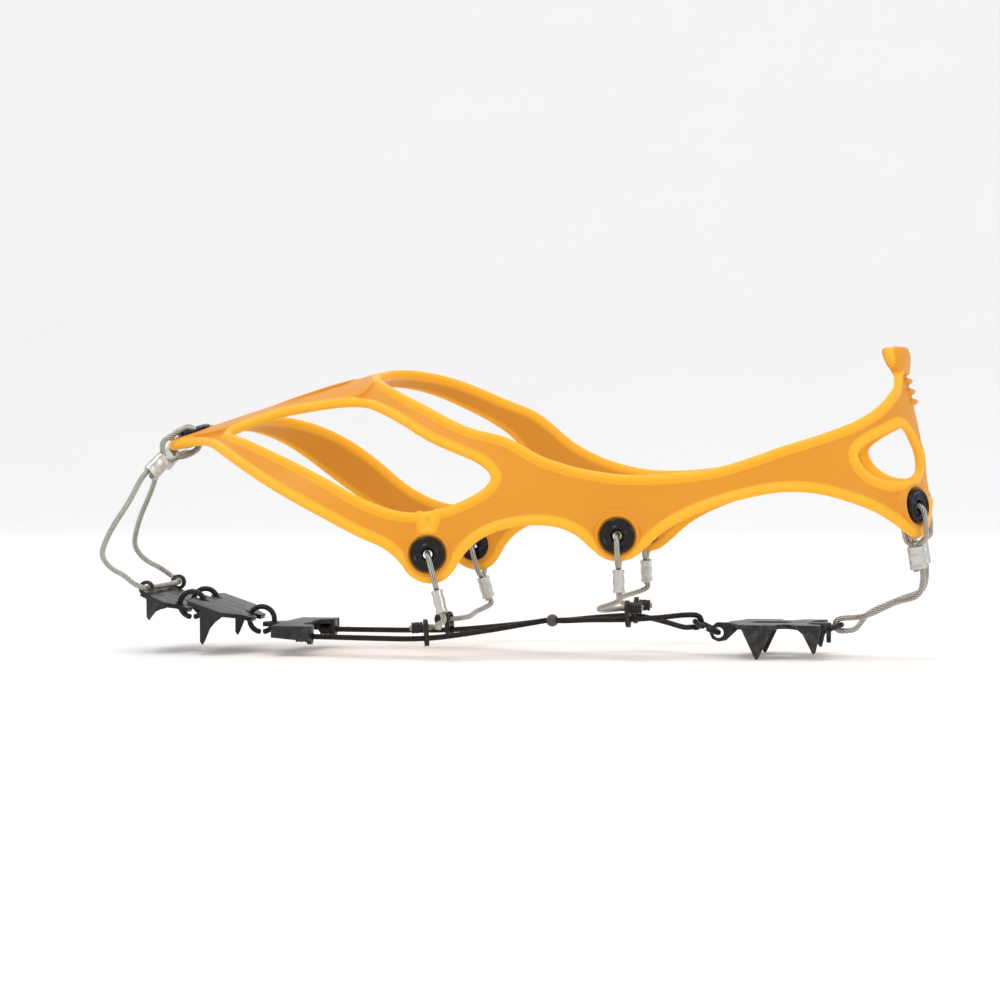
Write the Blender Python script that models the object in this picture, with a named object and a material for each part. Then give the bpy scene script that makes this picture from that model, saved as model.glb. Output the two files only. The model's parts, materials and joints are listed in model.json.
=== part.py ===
"""Ice cleats that pull on over a running shoe.

An elastomer harness carries seven eyelets. Steel cables are looped through the eyelets, crimped
with ferrules, and hold four plates chained under the sole. Metres, +Z up, toe toward -X,
lateral side toward -Y; the spike tips stand on Z = 0, under the middle of the bounding box.
Every size below is in millimetres, for the shoe size the harness is drawn on.
"""

import functools
import math

import bmesh
import bpy
import numpy as np
from mathutils import Matrix, Vector

MM = 0.001

# The shoe that the harness is stretched over
SHOE_LENGTH = 295.0
BALL_WIDTH = 103.0
DRAWN_LENGTH = 295.0
DRAWN_WIDTH = 103.0
HEEL_START = 105.0
HEEL_REACH = 38.0
HEEL_TURN = 37.5
CROWN_LEAN = math.radians(10.0)
LEAN_LOW = 45.0
LEAN_HIGH = 80.0
LEAN_REAR = 60.0
LEAN_FRONT = -20.0
# Along the shoe: place, half width, feather height, crown height, roundness exponent
STATIONS = (
    (-150.0, 18.0, 24.0, 40.0, 2.6),
    (-135.0, 30.0, 19.0, 54.0, 2.6),
    (-118.0, 40.0, 15.0, 65.0, 2.6),
    (-100.0, 46.0, 12.0, 71.5, 2.5),
    (-80.0, 50.0, 9.0, 78.0, 2.4),
    (-60.0, 51.5, 8.0, 84.5, 2.3),
    (-38.0, 50.0, 8.0, 91.0, 2.2),
    (-15.0, 46.5, 9.0, 100.0, 2.1),
    (10.0, 42.5, 11.0, 110.0, 2.0),
    (40.0, 39.0, 13.0, 120.0, 2.0),
    (70.0, 38.0, 12.0, 128.0, 2.0),
    (105.0, 37.0, 11.0, 130.0, 2.0),
)
SECTION_STEPS = 48

# Harness wall, and its outlines: place along the shoe, and percent of the girth from feather to crown
HARNESS_WALL = 4.0
TAB_HEAD_OUT = 2.4
TAB_HEAD_IN = 1.6
TAB_HEAD_FOOT = 65.4
TAB_HEAD_FRONT = 140.0
PATTERN_STEP = 10.0
HEEL_PATTERN_STEP = 6.5
HARNESS_EDGE = (
    (-112.5, 106.0), (-112.8, 98.0), (-110.5, 92.5), (-105.0, 89.0), (-98.0, 83.0), (-87.5, 69.0),
    (-77.5, 58.0), (-67.5, 48.5), (-58.5, 41.5), (-50.0, 36.0), (-38.5, 29.8), (-31.5, 26.4),
    (-27.0, 23.0), (-23.0, 18.6), (-19.5, 15.8), (-15.5, 14.8), (-11.5, 15.4), (-8.5, 17.6),
    (-5.0, 22.2), (0.0, 25.8), (7.0, 27.7), (17.0, 27.9), (25.0, 26.4), (31.0, 23.6),
    (35.5, 20.0), (39.5, 17.2), (44.5, 16.1), (49.5, 17.0), (54.0, 19.8), (59.0, 23.3),
    (65.0, 26.2), (75.0, 29.4), (87.0, 32.1), (98.0, 33.6), (108.0, 33.3), (118.0, 31.4),
    (128.0, 28.6), (136.0, 25.4), (141.5, 22.9), (146.5, 22.0), (151.0, 23.2), (155.0, 26.4),
    (159.5, 29.0), (164.0, 29.9), (171.0, 30.1), (173.0, 50.0), (171.0, 69.4), (155.0, 69.4), (148.5, 69.2),
    (147.2, 67.4), (149.0, 65.2), (149.6, 63.4), (146.5, 60.6), (139.5, 57.6), (131.5, 54.3),
    (121.0, 50.9), (110.0, 48.1), (97.0, 45.0), (86.5, 42.0), (75.5, 39.5), (64.0, 38.5),
    (54.0, 38.5), (44.5, 39.4), (34.0, 42.0), (26.0, 45.2), (19.0, 49.1), (13.0, 53.8),
    (7.5, 57.8), (-4.5, 63.9), (-15.5, 71.2), (-29.5, 82.4), (-36.5, 91.0), (-39.8, 99.0),
    (-40.2, 106.0), (-76.0, 110.0),
)
FRONT_WINDOW = (
    (-88.0, 84.6), (-87.0, 87.0), (-81.0, 90.2), (-73.0, 90.2), (-61.5, 86.4), (-48.0, 82.8),
    (-41.5, 80.0), (-36.0, 76.0), (-27.5, 69.3), (-19.5, 63.2), (-8.0, 55.8), (-3.0, 52.4),
    (1.0, 48.5), (2.8, 44.9), (1.2, 41.6), (-3.5, 38.8), (-11.0, 36.5), (-20.0, 35.8),
    (-28.0, 37.4), (-39.0, 42.8), (-50.0, 51.2), (-61.0, 59.8), (-72.5, 69.0), (-81.0, 76.6),
    (-86.5, 82.2),
)
REAR_WINDOW = (
    (122.8, 43.0), (128.5, 46.1), (136.5, 48.3), (143.5, 49.5), (147.0, 48.5), (151.0, 45.2),
    (153.8, 42.2), (152.4, 39.5), (147.5, 37.7), (142.0, 36.6), (135.5, 36.4), (129.0, 37.5),
    (124.5, 39.9),
)

# Eyelets, cable and crimps
EYELET_FLANGE_RADIUS = 5.7
EYELET_FLANGE = 1.5
EYELET_PROUD = 0.9
EYELET_STEPS = 16
EYELET_BARREL_RADIUS = 3.4
CABLE_RADIUS = 0.95
CABLE_TOLERANCE = 0.11
STRAND_GAP = 0.3
EYELET_BORE_RADIUS = 2 * CABLE_RADIUS + STRAND_GAP / 2 + 0.45
CRIMP_CLEARANCE = 0.33
CRIMP_WALL = 0.63
FERRULE_LENGTH = 7.4
STOP_LENGTH = 3.6
STOP_WALL = 0.62
SEAT_CLEARANCE = 0.3
EYELETS = {  # place, percent of the girth, edge of the lug, lean of the cable, gap to the ferrule, dip
    "toe": (-103.5, 100.0, 9.4, 35.0, 4.0, 24.0),
    "ball": (-16.6, 23.2, 9.4, 15.0, 2.5, 0.0),
    "arch": (44.3, 22.8, 8.3, 2.0, 2.5, 0.0),
    "heel": (144.5, 30.0, 10.6, 7.0, 2.5, 0.0),
}

# Plates, rings and links under the sole
PLATE = 1.5
RING_RADIUS = 4.3
RING_WIRE_RADIUS = 0.9
RING_BUTT_GAP = 0.7
RING_HOLE_RADIUS = 1.8
HOLE_MARGIN = 1.3
EAR_WALL = 1.2
CABLE_HOLE_RADIUS = 1.45
TOE_PLATE_PITCH = math.radians(25.0)
TOE_PLATE_HALF_WIDTH = 22.0
TOE_PLATE_ARM = 7.0
TOE_EAR = (-116.0, 22.1)
TOE_EAR_ABOVE_PLATE = 1.9
TOE_REACH = 8.4
FORE_PLATE_PITCH = math.radians(19.0)
FORE_PLATE_HALF_WIDTH = 26.0
FORE_PLATE_ARM = 10.0
FORE_RISE = 1.4
FORE_REACH = 13.5
BALL_PLATE_HALF_WIDTH = 26.0
BALL_PLATE_LENGTH = 17.5
BALL_PLATE_LIFT = 10.1
BALL_FLANGE = 5.0
BALL_EAR_OUT = 20.0
HEEL_PLATE_FRONT = 77.0
HEEL_PLATE_REAR = 105.0
HEEL_PLATE_HALF_WIDTH = 17.5
HEEL_PLATE_LIFT = 11.4
HEEL_TAIL_HALF_WIDTH = 2.5
HEEL_TAIL_REACH = 5.5
TOE_SPIKE_DROP = 8.8
TOE_CENTRE_DROP = 6.2
FORE_SPIKE_DROP = 13.2
FORE_CENTRE_DROP = 11.4
FORE_SPIKE_SET_BACK = 2.3
HEEL_FRONT_DROP = 11.3
HEEL_REAR_DROP = 9.3
HEEL_CENTRE_DROP = 6.4
HEEL_FRONT_BASE = 10.0
HEEL_REAR_BASE = 6.6
HEEL_ARM_PAST_REAR = 3.6
SPIKE_SINK = 0.25
EDGE_STEP = 0.2
CENTRE_SPIKE_HALF_WIDTH = 3.5
TOE_RING_OUT = 9.5
WAIST_RING_PITCH = math.radians(25.0)
HEEL_RING_PITCH = math.radians(18.0)
LINK_SPACING = 3.7
BALL_LINK = (-21.0, 23.0, 6.4)
ARCH_LINK = (44.5, 11.0, 12.5)
BEAD_HALF = (2.1, 3.7, 2.1)
BEAD_PLACE = 17.7
BEAD_LIFT = 11.3
BIGHT_TURNS = (50.0, 0.0, -50.0)
LOOP_DEPTH = 0.8

PART_COLLECTION = "shoe_ice_cleats"
MATERIALS = {  # colour, roughness, metallic
    "elastomer": ((0.85, 0.33, 0.03, 1.0), 0.48, 0.0),
    "eyelet_black": ((0.012, 0.012, 0.014, 1.0), 0.22, 0.6),
    "cable_steel": ((0.36, 0.35, 0.33, 1.0), 0.34, 1.0),
    "cable_dark": ((0.03, 0.03, 0.028, 1.0), 0.38, 0.9),
    "crimp_silver": ((0.62, 0.61, 0.57, 1.0), 0.3, 1.0),
    "plate_black": ((0.015, 0.015, 0.017, 1.0), 0.4, 0.7),
    "bead_grey": ((0.09, 0.10, 0.10, 1.0), 0.45, 0.2),
}

LATERAL = -1
MEDIAL = 1
SIDES = {"lat": LATERAL, "med": MEDIAL}
UP = Vector((0.0, 0.0, 1.0))
ACROSS = Vector((0.0, 1.0, 0.0))


def along(x):
    """A place drawn along the shoe, moved with the shoe's length."""
    return x * SHOE_LENGTH / DRAWN_LENGTH


def wide(y):
    """A place drawn across the shoe, moved with the shoe's width."""
    return y * BALL_WIDTH / DRAWN_WIDTH


def hermite(start, end, start_slope, end_slope, share, span):
    """The cubic between two points with given slopes."""
    square = share * share
    cube = square * share
    return (
        (2 * cube - 3 * square + 1) * start
        + (cube - 2 * square + share) * span * start_slope
        + (3 * square - 2 * cube) * end
        + (cube - square) * span * end_slope
    )


def ease(value, low, high):
    """0 below low, 1 above high, smooth between."""
    share = min(max((value - low) / (high - low), 0.0), 1.0)
    return share * share * (3 - 2 * share)


@functools.lru_cache(maxsize=None)
def section(u):
    """Half width and height along half a cross-section of the shoe, with the length run so far."""
    table = np.array(STATIONS)
    slopes = np.gradient(table[:, 1:], table[:, 0], axis=0)
    place = min(max(u, STATIONS[0][0]), HEEL_START)
    i = int(np.clip(np.searchsorted(table[:, 0], place) - 1, 0, len(table) - 2))
    span = table[i + 1, 0] - table[i, 0]
    share = (place - table[i, 0]) / span
    half, low, high, power = hermite(table[i, 1:], table[i + 1, 1:], slopes[i], slopes[i + 1], share, span)
    turn = np.linspace(0, math.pi / 2, SECTION_STEPS + 1)
    out = half * np.cos(turn) ** (2 / power)
    height = low + (high - low) * np.sin(turn) ** (2 / power)
    run = np.concatenate([[0], np.cumsum(np.hypot(np.diff(out), np.diff(height)))])
    return out, height, run


HEEL_END = HEEL_START + HEEL_TURN * math.pi / 2


def shoe_point(u, percent, side):
    """The point of the shoe at this place and girth; past a seam it comes back on the other side."""
    if u > HEEL_END:
        u, side = 2 * HEEL_END - u, -side
    if percent > 100:
        percent, side = 200 - percent, -side
    out, height, run = section(round(u, 5))
    y = float(np.interp(percent / 100 * run[-1], run, out))
    z = float(np.interp(percent / 100 * run[-1], run, height))
    x = u
    if u > HEEL_START:
        turn = (u - HEEL_START) / HEEL_TURN
        x = HEEL_START + HEEL_REACH * math.sin(turn) * y / out[0]
        y *= math.cos(turn)
    lean = ease(z, LEAN_LOW, LEAN_HIGH) * (1 - ease(x, LEAN_FRONT, LEAN_REAR))
    return Vector((along(x), wide(side * y), z + math.tan(CROWN_LEAN) * side * y * lean))


def shoe_frame(u, percent, side):
    """The point, the outward normal, and the directions of growing place and growing girth."""
    rearward = shoe_point(u + 0.5, percent, side) - shoe_point(u - 0.5, percent, side)
    upward = shoe_point(u, percent + 0.4, side) - shoe_point(u, percent - 0.4, side)
    normal = rearward.cross(upward).normalized() * -side
    rearward.normalize()
    upward = (upward - normal * upward.dot(normal)).normalized()
    return shoe_point(u, percent, side), normal, rearward, upward


def curve_through(points, step, closed=False):
    """Points about a step apart on a smooth curve through these ones."""
    path = np.array([tuple(point) for point in points], float)
    if closed:
        path = np.vstack([path[-3:], path, path[:4]])
    chords = np.linalg.norm(np.diff(path, axis=0), axis=1)
    knots = np.concatenate([[0], np.cumsum(np.sqrt(chords))])
    slopes = np.gradient(path, knots, axis=0)
    first = 3 if closed else 0
    last = len(path) - 4 if closed else len(path) - 1
    found = []
    for i in range(first, last):
        count = max(1, math.ceil(chords[i] / step))
        for k in range(count):
            span = knots[i + 1] - knots[i]
            found.append(hermite(path[i], path[i + 1], slopes[i], slopes[i + 1], k / count, span))
    if not closed:
        found.append(path[-1])
    return np.array(found)


def thinned(path, tolerance):
    """The path without the points that lie this near the straight line between kept ones."""
    if len(path) < 3:
        return path
    chord = path[-1] - path[0]
    length = np.linalg.norm(chord)
    offsets = path - path[0]
    if length > 1e-9:
        offsets = offsets - np.outer(offsets @ chord / length**2, chord)
    far = np.linalg.norm(offsets, axis=1)
    i = int(np.argmax(far))
    if far[i] <= tolerance or i in (0, len(path) - 1):
        return path[[0, -1]]
    return np.vstack([thinned(path[: i + 1], tolerance)[:-1], thinned(path[i:], tolerance)])


def outline_through(points, step=1.5, tolerance=0.22):
    """A closed outline through these points, with few points where it runs straight."""
    path = curve_through(points, step, closed=True)
    return thinned(np.vstack([path, path[:1]]), tolerance)[:-1]


def circle(radius, count, centre=(0.0, 0.0)):
    turns = [2 * math.pi * k / count for k in range(count)]
    return [(centre[0] + radius * math.cos(t), centre[1] + radius * math.sin(t)) for t in turns]


def capsule(radius, spread, count):
    """A slot outline: two half circles whose centres lie spread apart along x."""
    right = [math.pi * (k / count - 0.5) for k in range(count + 1)]
    ends = [(spread / 2 + radius * math.cos(t), radius * math.sin(t)) for t in right]
    return ends + [(-x, -y) for x, y in ends]


def mesh_of_curve(curve):
    """The closed mesh of a curve, which is then removed."""
    holder = bpy.data.objects.new("guide", curve)
    bpy.context.scene.collection.objects.link(holder)
    mesh = bpy.data.meshes.new_from_object(holder)
    bpy.data.objects.remove(holder)
    bm = bmesh.new()
    bm.from_mesh(mesh)
    bpy.data.meshes.remove(mesh)
    bmesh.ops.remove_doubles(bm, verts=bm.verts, dist=1e-7)
    bmesh.ops.recalc_face_normals(bm, faces=bm.faces)
    return bm


def sheet(outlines, thickness, matrix=None):
    """Flat outlines, the inner ones as holes, thickened evenly to both sides of their plane."""
    curve = bpy.data.curves.new("outline", "CURVE")
    curve.dimensions = "2D"
    curve.fill_mode = "BOTH"
    curve.extrude = thickness / 2 * MM
    for outline in outlines:
        spline = curve.splines.new("POLY")
        spline.points.add(len(outline) - 1)
        for point, place in zip(spline.points, outline):
            point.co = (place[0] * MM, place[1] * MM, 0.0, 1.0)
        spline.use_cyclic_u = True
    bm = mesh_of_curve(curve)
    if matrix:
        bmesh.ops.transform(bm, matrix=matrix, verts=bm.verts)
    return bm


def wire(path, radius):
    """A round wire along the path, closed at both ends."""
    curve = bpy.data.curves.new("route", "CURVE")
    curve.dimensions = "3D"
    curve.bevel_depth = radius * MM
    curve.bevel_resolution = 2
    curve.use_fill_caps = True
    spline = curve.splines.new("POLY")
    spline.points.add(len(path) - 1)
    for point, place in zip(spline.points, path):
        point.co = (place[0] * MM, place[1] * MM, place[2] * MM, 1.0)
    return mesh_of_curve(curve)


def turned(profile, steps, matrix):
    """A closed profile of radius and height, spun about its axis."""
    bm = bmesh.new()
    corners = [bm.verts.new((radius * MM, 0.0, height * MM)) for radius, height in profile]
    edges = [bm.edges.new((a, b)) for a, b in zip(corners, corners[1:] + corners[:1])]
    bmesh.ops.spin(
        bm,
        geom=corners + edges,
        axis=(0, 0, 1),
        cent=(0, 0, 0),
        angle=2 * math.pi,
        steps=steps,
        use_merge=True,
    )
    bmesh.ops.remove_doubles(bm, verts=bm.verts, dist=1e-7)
    bmesh.ops.recalc_face_normals(bm, faces=bm.faces)
    bmesh.ops.transform(bm, matrix=matrix, verts=bm.verts)
    return bm


def rod(radius, length, steps, matrix):
    """A cylinder about the matrix's Z axis, centred on it."""
    bm = bmesh.new()
    bmesh.ops.create_cone(
        bm,
        cap_ends=True,
        segments=steps,
        radius1=radius * MM,
        radius2=radius * MM,
        depth=length * MM,
        matrix=matrix,
    )
    return bm


def frame_matrix(place, x_axis, z_axis):
    """The matrix whose Z axis is z_axis, whose X axis lies nearest x_axis, and whose origin is place."""
    z = Vector(z_axis).normalized()
    x = Vector(x_axis)
    x = (x - z * x.dot(z)).normalized()
    turn = Matrix((x, z.cross(x), z)).transposed().to_4x4()
    return Matrix.Translation(Vector(place) * MM) @ turn


def upright(y):
    """Takes an outline drawn as x and height to the upright plane at this y."""
    return Matrix.Translation((0, y * MM, 0)) @ Matrix.Rotation(math.pi / 2, 4, "X")


def crosswise(x):
    """Takes an outline drawn as y and height to the upright plane at this x."""
    turn = Matrix(((0, 0, 1), (1, 0, 0), (0, 1, 0))).to_4x4()
    return Matrix.Translation((x * MM, 0, 0)) @ turn


def laid(x, z, pitch):
    """Takes a plate drawn from its own origin to x and z, its rear end pitched down."""
    return Matrix.Translation((x * MM, 0, z * MM)) @ Matrix.Rotation(pitch, 4, "Y")


def joined(pieces):
    """Several closed meshes as one."""
    whole = bmesh.new()
    for piece in pieces:
        mesh = bpy.data.meshes.new("piece")
        piece.to_mesh(mesh)
        piece.free()
        whole.from_mesh(mesh)
        bpy.data.meshes.remove(mesh)
    return whole


def material_of(name):
    material = bpy.data.materials.get(name)
    if material:
        return material
    colour, roughness, metallic = MATERIALS[name]
    material = bpy.data.materials.new(name)
    material.use_nodes = True
    shader = material.node_tree.nodes["Principled BSDF"]
    shader.inputs["Base Color"].default_value = colour
    shader.inputs["Roughness"].default_value = roughness
    shader.inputs["Metallic"].default_value = metallic
    material.diffuse_color = colour
    return material


def add_part(name, bm, material, smooth=True):
    """Names the closed mesh as one piece of the object."""
    mesh = bpy.data.meshes.new(name)
    bm.to_mesh(mesh)
    bm.free()
    mesh.materials.append(material_of(material))
    if smooth:
        mesh.shade_smooth()
        mesh.set_sharp_from_angle(angle=math.radians(38))
    part = bpy.data.objects.new(name, mesh)
    bpy.data.collections[PART_COLLECTION].objects.link(part)
    return part


def combine(part, operation, pieces):
    """Joins helper meshes to the part, cuts them from it, or keeps what lies inside them."""
    mesh = bpy.data.meshes.new(part.name + "_" + operation.lower())
    bm = joined(pieces)
    bm.to_mesh(mesh)
    bm.free()
    helper = bpy.data.objects.new(mesh.name, mesh)
    bpy.data.collections["cutters"].objects.link(helper)
    helper.hide_render = True
    helper.display_type = "WIRE"
    modifier = part.modifiers.new(operation.lower(), "BOOLEAN")
    modifier.operation = operation
    modifier.solver = "EXACT"
    modifier.object = helper


def clear_scene():
    for thing in list(bpy.data.objects):
        bpy.data.objects.remove(thing)
    for name in (PART_COLLECTION, "cutters"):
        collection = bpy.data.collections.new(name)
        bpy.context.scene.collection.children.link(collection)


# ---- harness ----


def pattern_slab():
    """The flat wall that one half of the harness is cut from, ruled into cells that can bend."""
    low_u, low_percent = -120.0, 8.0
    bm = bmesh.new()
    bmesh.ops.create_cube(bm, size=1.0)
    for vert in bm.verts:
        vert.co.x = (HEEL_END if vert.co.x > 0 else low_u) * MM
        vert.co.y = (100.0 if vert.co.y > 0 else low_percent) * MM
        vert.co.z = (HARNESS_WALL if vert.co.z > 0 else 0.0) * MM
    rulings = [(u, 0) for u in np.arange(low_u + PATTERN_STEP, HEEL_START, PATTERN_STEP)]
    rulings += [(u, 0) for u in np.arange(HEEL_START, HEEL_END - 1, HEEL_PATTERN_STEP)]
    rulings += [(v, 1) for v in np.arange(low_percent + PATTERN_STEP, 99.0, PATTERN_STEP)]
    rulings += [(TAB_HEAD_FOOT - 0.3, 1), (TAB_HEAD_FOOT + 0.3, 1)]
    for place, axis in rulings:
        spot = (place * MM, 0, 0) if axis == 0 else (0, place * MM, 0)
        facing = (1, 0, 0) if axis == 0 else (0, 1, 0)
        every = bm.verts[:] + bm.edges[:] + bm.faces[:]
        bmesh.ops.bisect_plane(bm, geom=every, dist=1e-8, plane_co=spot, plane_no=facing)
    return bm


def cut_pattern():
    """One half of the harness, still flat, as a mesh in pattern coordinates."""
    slab = bpy.data.meshes.new("slab")
    bm = pattern_slab()
    bm.to_mesh(slab)
    bm.free()
    holder = bpy.data.objects.new("slab", slab)
    bpy.data.collections["cutters"].objects.link(holder)
    outlines = [outline_through(points) for points in (HARNESS_EDGE, FRONT_WINDOW, REAR_WINDOW)]
    raised = Matrix.Translation((0, 0, HARNESS_WALL / 2 * MM))
    combine(holder, "INTERSECT", [sheet(outlines, 3 * HARNESS_WALL, raised)])
    graph = bpy.context.evaluated_depsgraph_get()
    mesh = bpy.data.meshes.new_from_object(holder.evaluated_get(graph))
    bm = bmesh.new()
    bm.from_mesh(mesh)
    bpy.data.meshes.remove(mesh)
    for helper in (holder.modifiers[0].object, holder):
        bpy.data.objects.remove(helper)
    bmesh.ops.remove_doubles(bm, verts=bm.verts, dist=2e-5)
    return bm


def on_seam(face):
    """Whether the face closes the half pattern along the crown or down the back of the heel."""
    crown = all(abs(v.co.y / MM - 100.0) < 1e-3 for v in face.verts)
    back = all(abs(v.co.x / MM - HEEL_END) < 1e-3 for v in face.verts)
    return crown or back


def bent_point(co, side):
    """Takes a point of the flat pattern to its place over the shoe."""
    u, percent = co.x / MM, co.y / MM
    depth = co.z / MM
    if u > TAB_HEAD_FRONT and percent > TAB_HEAD_FOOT:
        depth += TAB_HEAD_OUT if depth > HARNESS_WALL / 2 else -TAB_HEAD_IN
    place, normal = shoe_frame(u, percent, side)[:2]
    if abs(u - HEEL_END) < 1e-3:
        normal.y = 0.0
        place.y = 0.0
    return (place + normal * depth) * MM


def harness_body():
    """Both halves of the harness, bent over the shoe and welded along their seams."""
    halves = []
    for side in SIDES.values():
        bm = cut_pattern()
        seams = [face for face in bm.faces if on_seam(face)]
        bmesh.ops.delete(bm, geom=seams, context="FACES_ONLY")
        for vert in bm.verts:
            vert.co = bent_point(vert.co, side)
        if side == MEDIAL:
            bmesh.ops.reverse_faces(bm, faces=bm.faces)
        halves.append(bm)
    bm = joined(halves)
    bmesh.ops.remove_doubles(bm, verts=bm.verts, dist=3e-5)
    loose = [edge for edge in bm.edges if not edge.link_faces]
    bmesh.ops.delete(bm, geom=loose, context="EDGES")
    bmesh.ops.triangulate(bm, faces=bm.faces)
    bmesh.ops.recalc_face_normals(bm, faces=bm.faces)
    return bm


def eyelet_spots():
    """Name, eyelet and side of every eyelet; the toe eyelet sits on the crown."""
    spots = [("toe", "toe", LATERAL)]
    for place in ("ball", "arch", "heel"):
        spots += [(f"{place}_{word}", place, side) for word, side in SIDES.items()]
    return spots


def eyelet_matrix(place, side):
    u, percent = EYELETS[place][:2]
    centre, normal, rearward, _ = shoe_frame(u, percent, side)
    return frame_matrix(centre, rearward, normal)


def eyelet_profile(grow):
    """Half section of an eyelet: barrel through the wall, a flange on each face."""
    outer = HARNESS_WALL + EYELET_PROUD
    flange = EYELET_FLANGE_RADIUS + grow
    barrel = EYELET_BARREL_RADIUS + grow
    step_out = outer - EYELET_FLANGE - grow
    step_in = EYELET_FLANGE - EYELET_PROUD + grow
    if grow:
        ends = 4 * HARNESS_WALL
        return [
            (0.0, -ends), (flange, -ends), (flange, step_in), (barrel, step_in),
            (barrel, step_out), (flange, step_out), (flange, ends), (0.0, ends),
        ]
    bore = EYELET_BORE_RADIUS
    round_off = 0.5
    return [
        (bore, -EYELET_PROUD), (flange - round_off, -EYELET_PROUD), (flange, step_in),
        (barrel, step_in), (barrel, step_out), (flange, step_out), (flange, outer - round_off),
        (flange - round_off, outer), (bore + round_off, outer), (bore, outer - round_off),
    ]


def build_harness():
    harness = add_part("harness", harness_body(), "elastomer")
    seats = []
    for _, place, side in eyelet_spots():
        seats.append(turned(eyelet_profile(SEAT_CLEARANCE), EYELET_STEPS, eyelet_matrix(place, side)))
    combine(harness, "DIFFERENCE", seats)
    for name, place, side in eyelet_spots():
        solid = turned(eyelet_profile(0.0), EYELET_STEPS, eyelet_matrix(place, side))
        add_part(f"eyelet_{name}", solid, "eyelet_black")


# ---- where the pieces under the sole lie ----


def plate_height(front_height, run, pitch):
    """Height of a pitched plate's top after this run along the shoe."""
    return front_height - math.tan(pitch) * run


TOE_X = along(TOE_EAR[0])
TOE_TOP = TOE_EAR[1] - TOE_EAR_ABOVE_PLATE
TOE_HOLE = (TOE_X + TOE_REACH, plate_height(TOE_TOP, TOE_REACH, TOE_PLATE_PITCH) - PLATE / 2)
TOE_RING_CENTRE = (
    TOE_HOLE[0] + math.sqrt(RING_RADIUS**2 - (FORE_RISE / 2) ** 2),
    TOE_HOLE[1] + FORE_RISE / 2,
)
FORE_X = 2 * TOE_RING_CENTRE[0] - TOE_HOLE[0]
FORE_TOP = TOE_HOLE[1] + FORE_RISE + PLATE / 2
FORE_HOLE = (FORE_X + FORE_REACH, plate_height(FORE_TOP, FORE_REACH, FORE_PLATE_PITCH) - PLATE / 2)
BALL_HOLE_Z = BALL_PLATE_LIFT - PLATE / 2
RING_FALL = (FORE_HOLE[1] - BALL_HOLE_Z) / 2
FORE_RING_CENTRE = (
    FORE_HOLE[0] + math.sqrt(RING_RADIUS**2 - RING_FALL**2),
    FORE_HOLE[1] - RING_FALL,
)
BALL_X = 2 * FORE_RING_CENTRE[0] - FORE_HOLE[0]
BALL_EAR_X = BALL_X + BALL_PLATE_LENGTH
CRIMP_RADIUS = CABLE_RADIUS + CRIMP_CLEARANCE
STOP_RADIUS = CRIMP_RADIUS + STOP_WALL
BALL_EAR_Z = BALL_PLATE_LIFT - PLATE - SEAT_CLEARANCE - STOP_RADIUS
EAR_RADIUS = CABLE_HOLE_RADIUS + EAR_WALL
HEEL_UNDERSIDE = HEEL_PLATE_LIFT - PLATE
RING_EAR_RADIUS = RING_HOLE_RADIUS + EAR_WALL
HEEL_FRONT_EAR = (along(HEEL_PLATE_FRONT) - 3.6, HEEL_UNDERSIDE - RING_HOLE_RADIUS - 0.3)
HEEL_REAR_EAR = (along(HEEL_PLATE_REAR) + 1.0, HEEL_UNDERSIDE - RING_HOLE_RADIUS)
WAIST_RING_CENTRE = (
    HEEL_FRONT_EAR[0] - RING_RADIUS * math.cos(WAIST_RING_PITCH),
    HEEL_FRONT_EAR[1] + RING_RADIUS * math.sin(WAIST_RING_PITCH),
)
HEEL_RING_CENTRE = (
    HEEL_REAR_EAR[0] + RING_RADIUS * math.cos(HEEL_RING_PITCH),
    HEEL_REAR_EAR[1] + RING_RADIUS * math.sin(HEEL_RING_PITCH),
)

RING_WRAP = CABLE_RADIUS + RING_WIRE_RADIUS + SEAT_CLEARANCE
WAIST_WIRE = (  # the end of the waist ring that the long cable turns round
    WAIST_RING_CENTRE[0] - RING_RADIUS * math.cos(WAIST_RING_PITCH),
    WAIST_RING_CENTRE[1] + RING_RADIUS * math.sin(WAIST_RING_PITCH),
)
HEEL_WIRE = (  # the end of the heel ring that the heel cable turns round
    HEEL_RING_CENTRE[0] + RING_RADIUS * math.cos(HEEL_RING_PITCH),
    HEEL_RING_CENTRE[1] + RING_RADIUS * math.sin(HEEL_RING_PITCH),
)


# ---- plates ----


def side_spike(x, top, drop, base, y, pitch=0.0):
    """A spike in the upright plane at y: front edge upright, rear edge hollowed toward the plate."""
    tip = top - drop
    rear_top = top - base * math.tan(pitch)
    outline = [
        (x, top - SPIKE_SINK),
        (x + 0.1, tip + 1.2),
        (x + 0.8, tip),
        (x + 1.5, tip + 1.0),
        (x + 0.46 * base, (top + rear_top - drop) / 2),
        (x + 0.72 * base, rear_top - 0.24 * drop),
        (x + base, rear_top - PLATE - EDGE_STEP),
        (x + base, rear_top - SPIKE_SINK),
    ]
    return sheet([outline], PLATE, upright(y))


def fang(x, top, drop, base, lean, y):
    """A straight-edged spike in the upright plane at y, its tip this share of the base from the front."""
    tip = x + base * lean
    outline = [
        (x, top - SPIKE_SINK),
        (x, top - PLATE),
        (tip - 0.55, top - drop + 0.4),
        (tip, top - drop),
        (tip + 0.55, top - drop + 0.4),
        (x + base, top - PLATE),
        (x + base, top - SPIKE_SINK),
    ]
    return sheet([outline], PLATE, upright(y))


def centre_spike(x, top, drop, half_width):
    """A spike bent down across the plate's end, in the upright plane at x."""
    outline = [
        (half_width, top),
        (half_width, top - 0.3 * drop),
        (0.6, top - drop),
        (-0.6, top - drop),
        (-half_width, top - 0.3 * drop),
        (-half_width, top),
    ]
    return sheet([outline], PLATE, crosswise(x))


def mirrored_outline(half):
    """A closed outline from the half with y >= 0, front to rear."""
    return list(half) + [(x, -y) for x, y in reversed(half) if y > 0]


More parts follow.
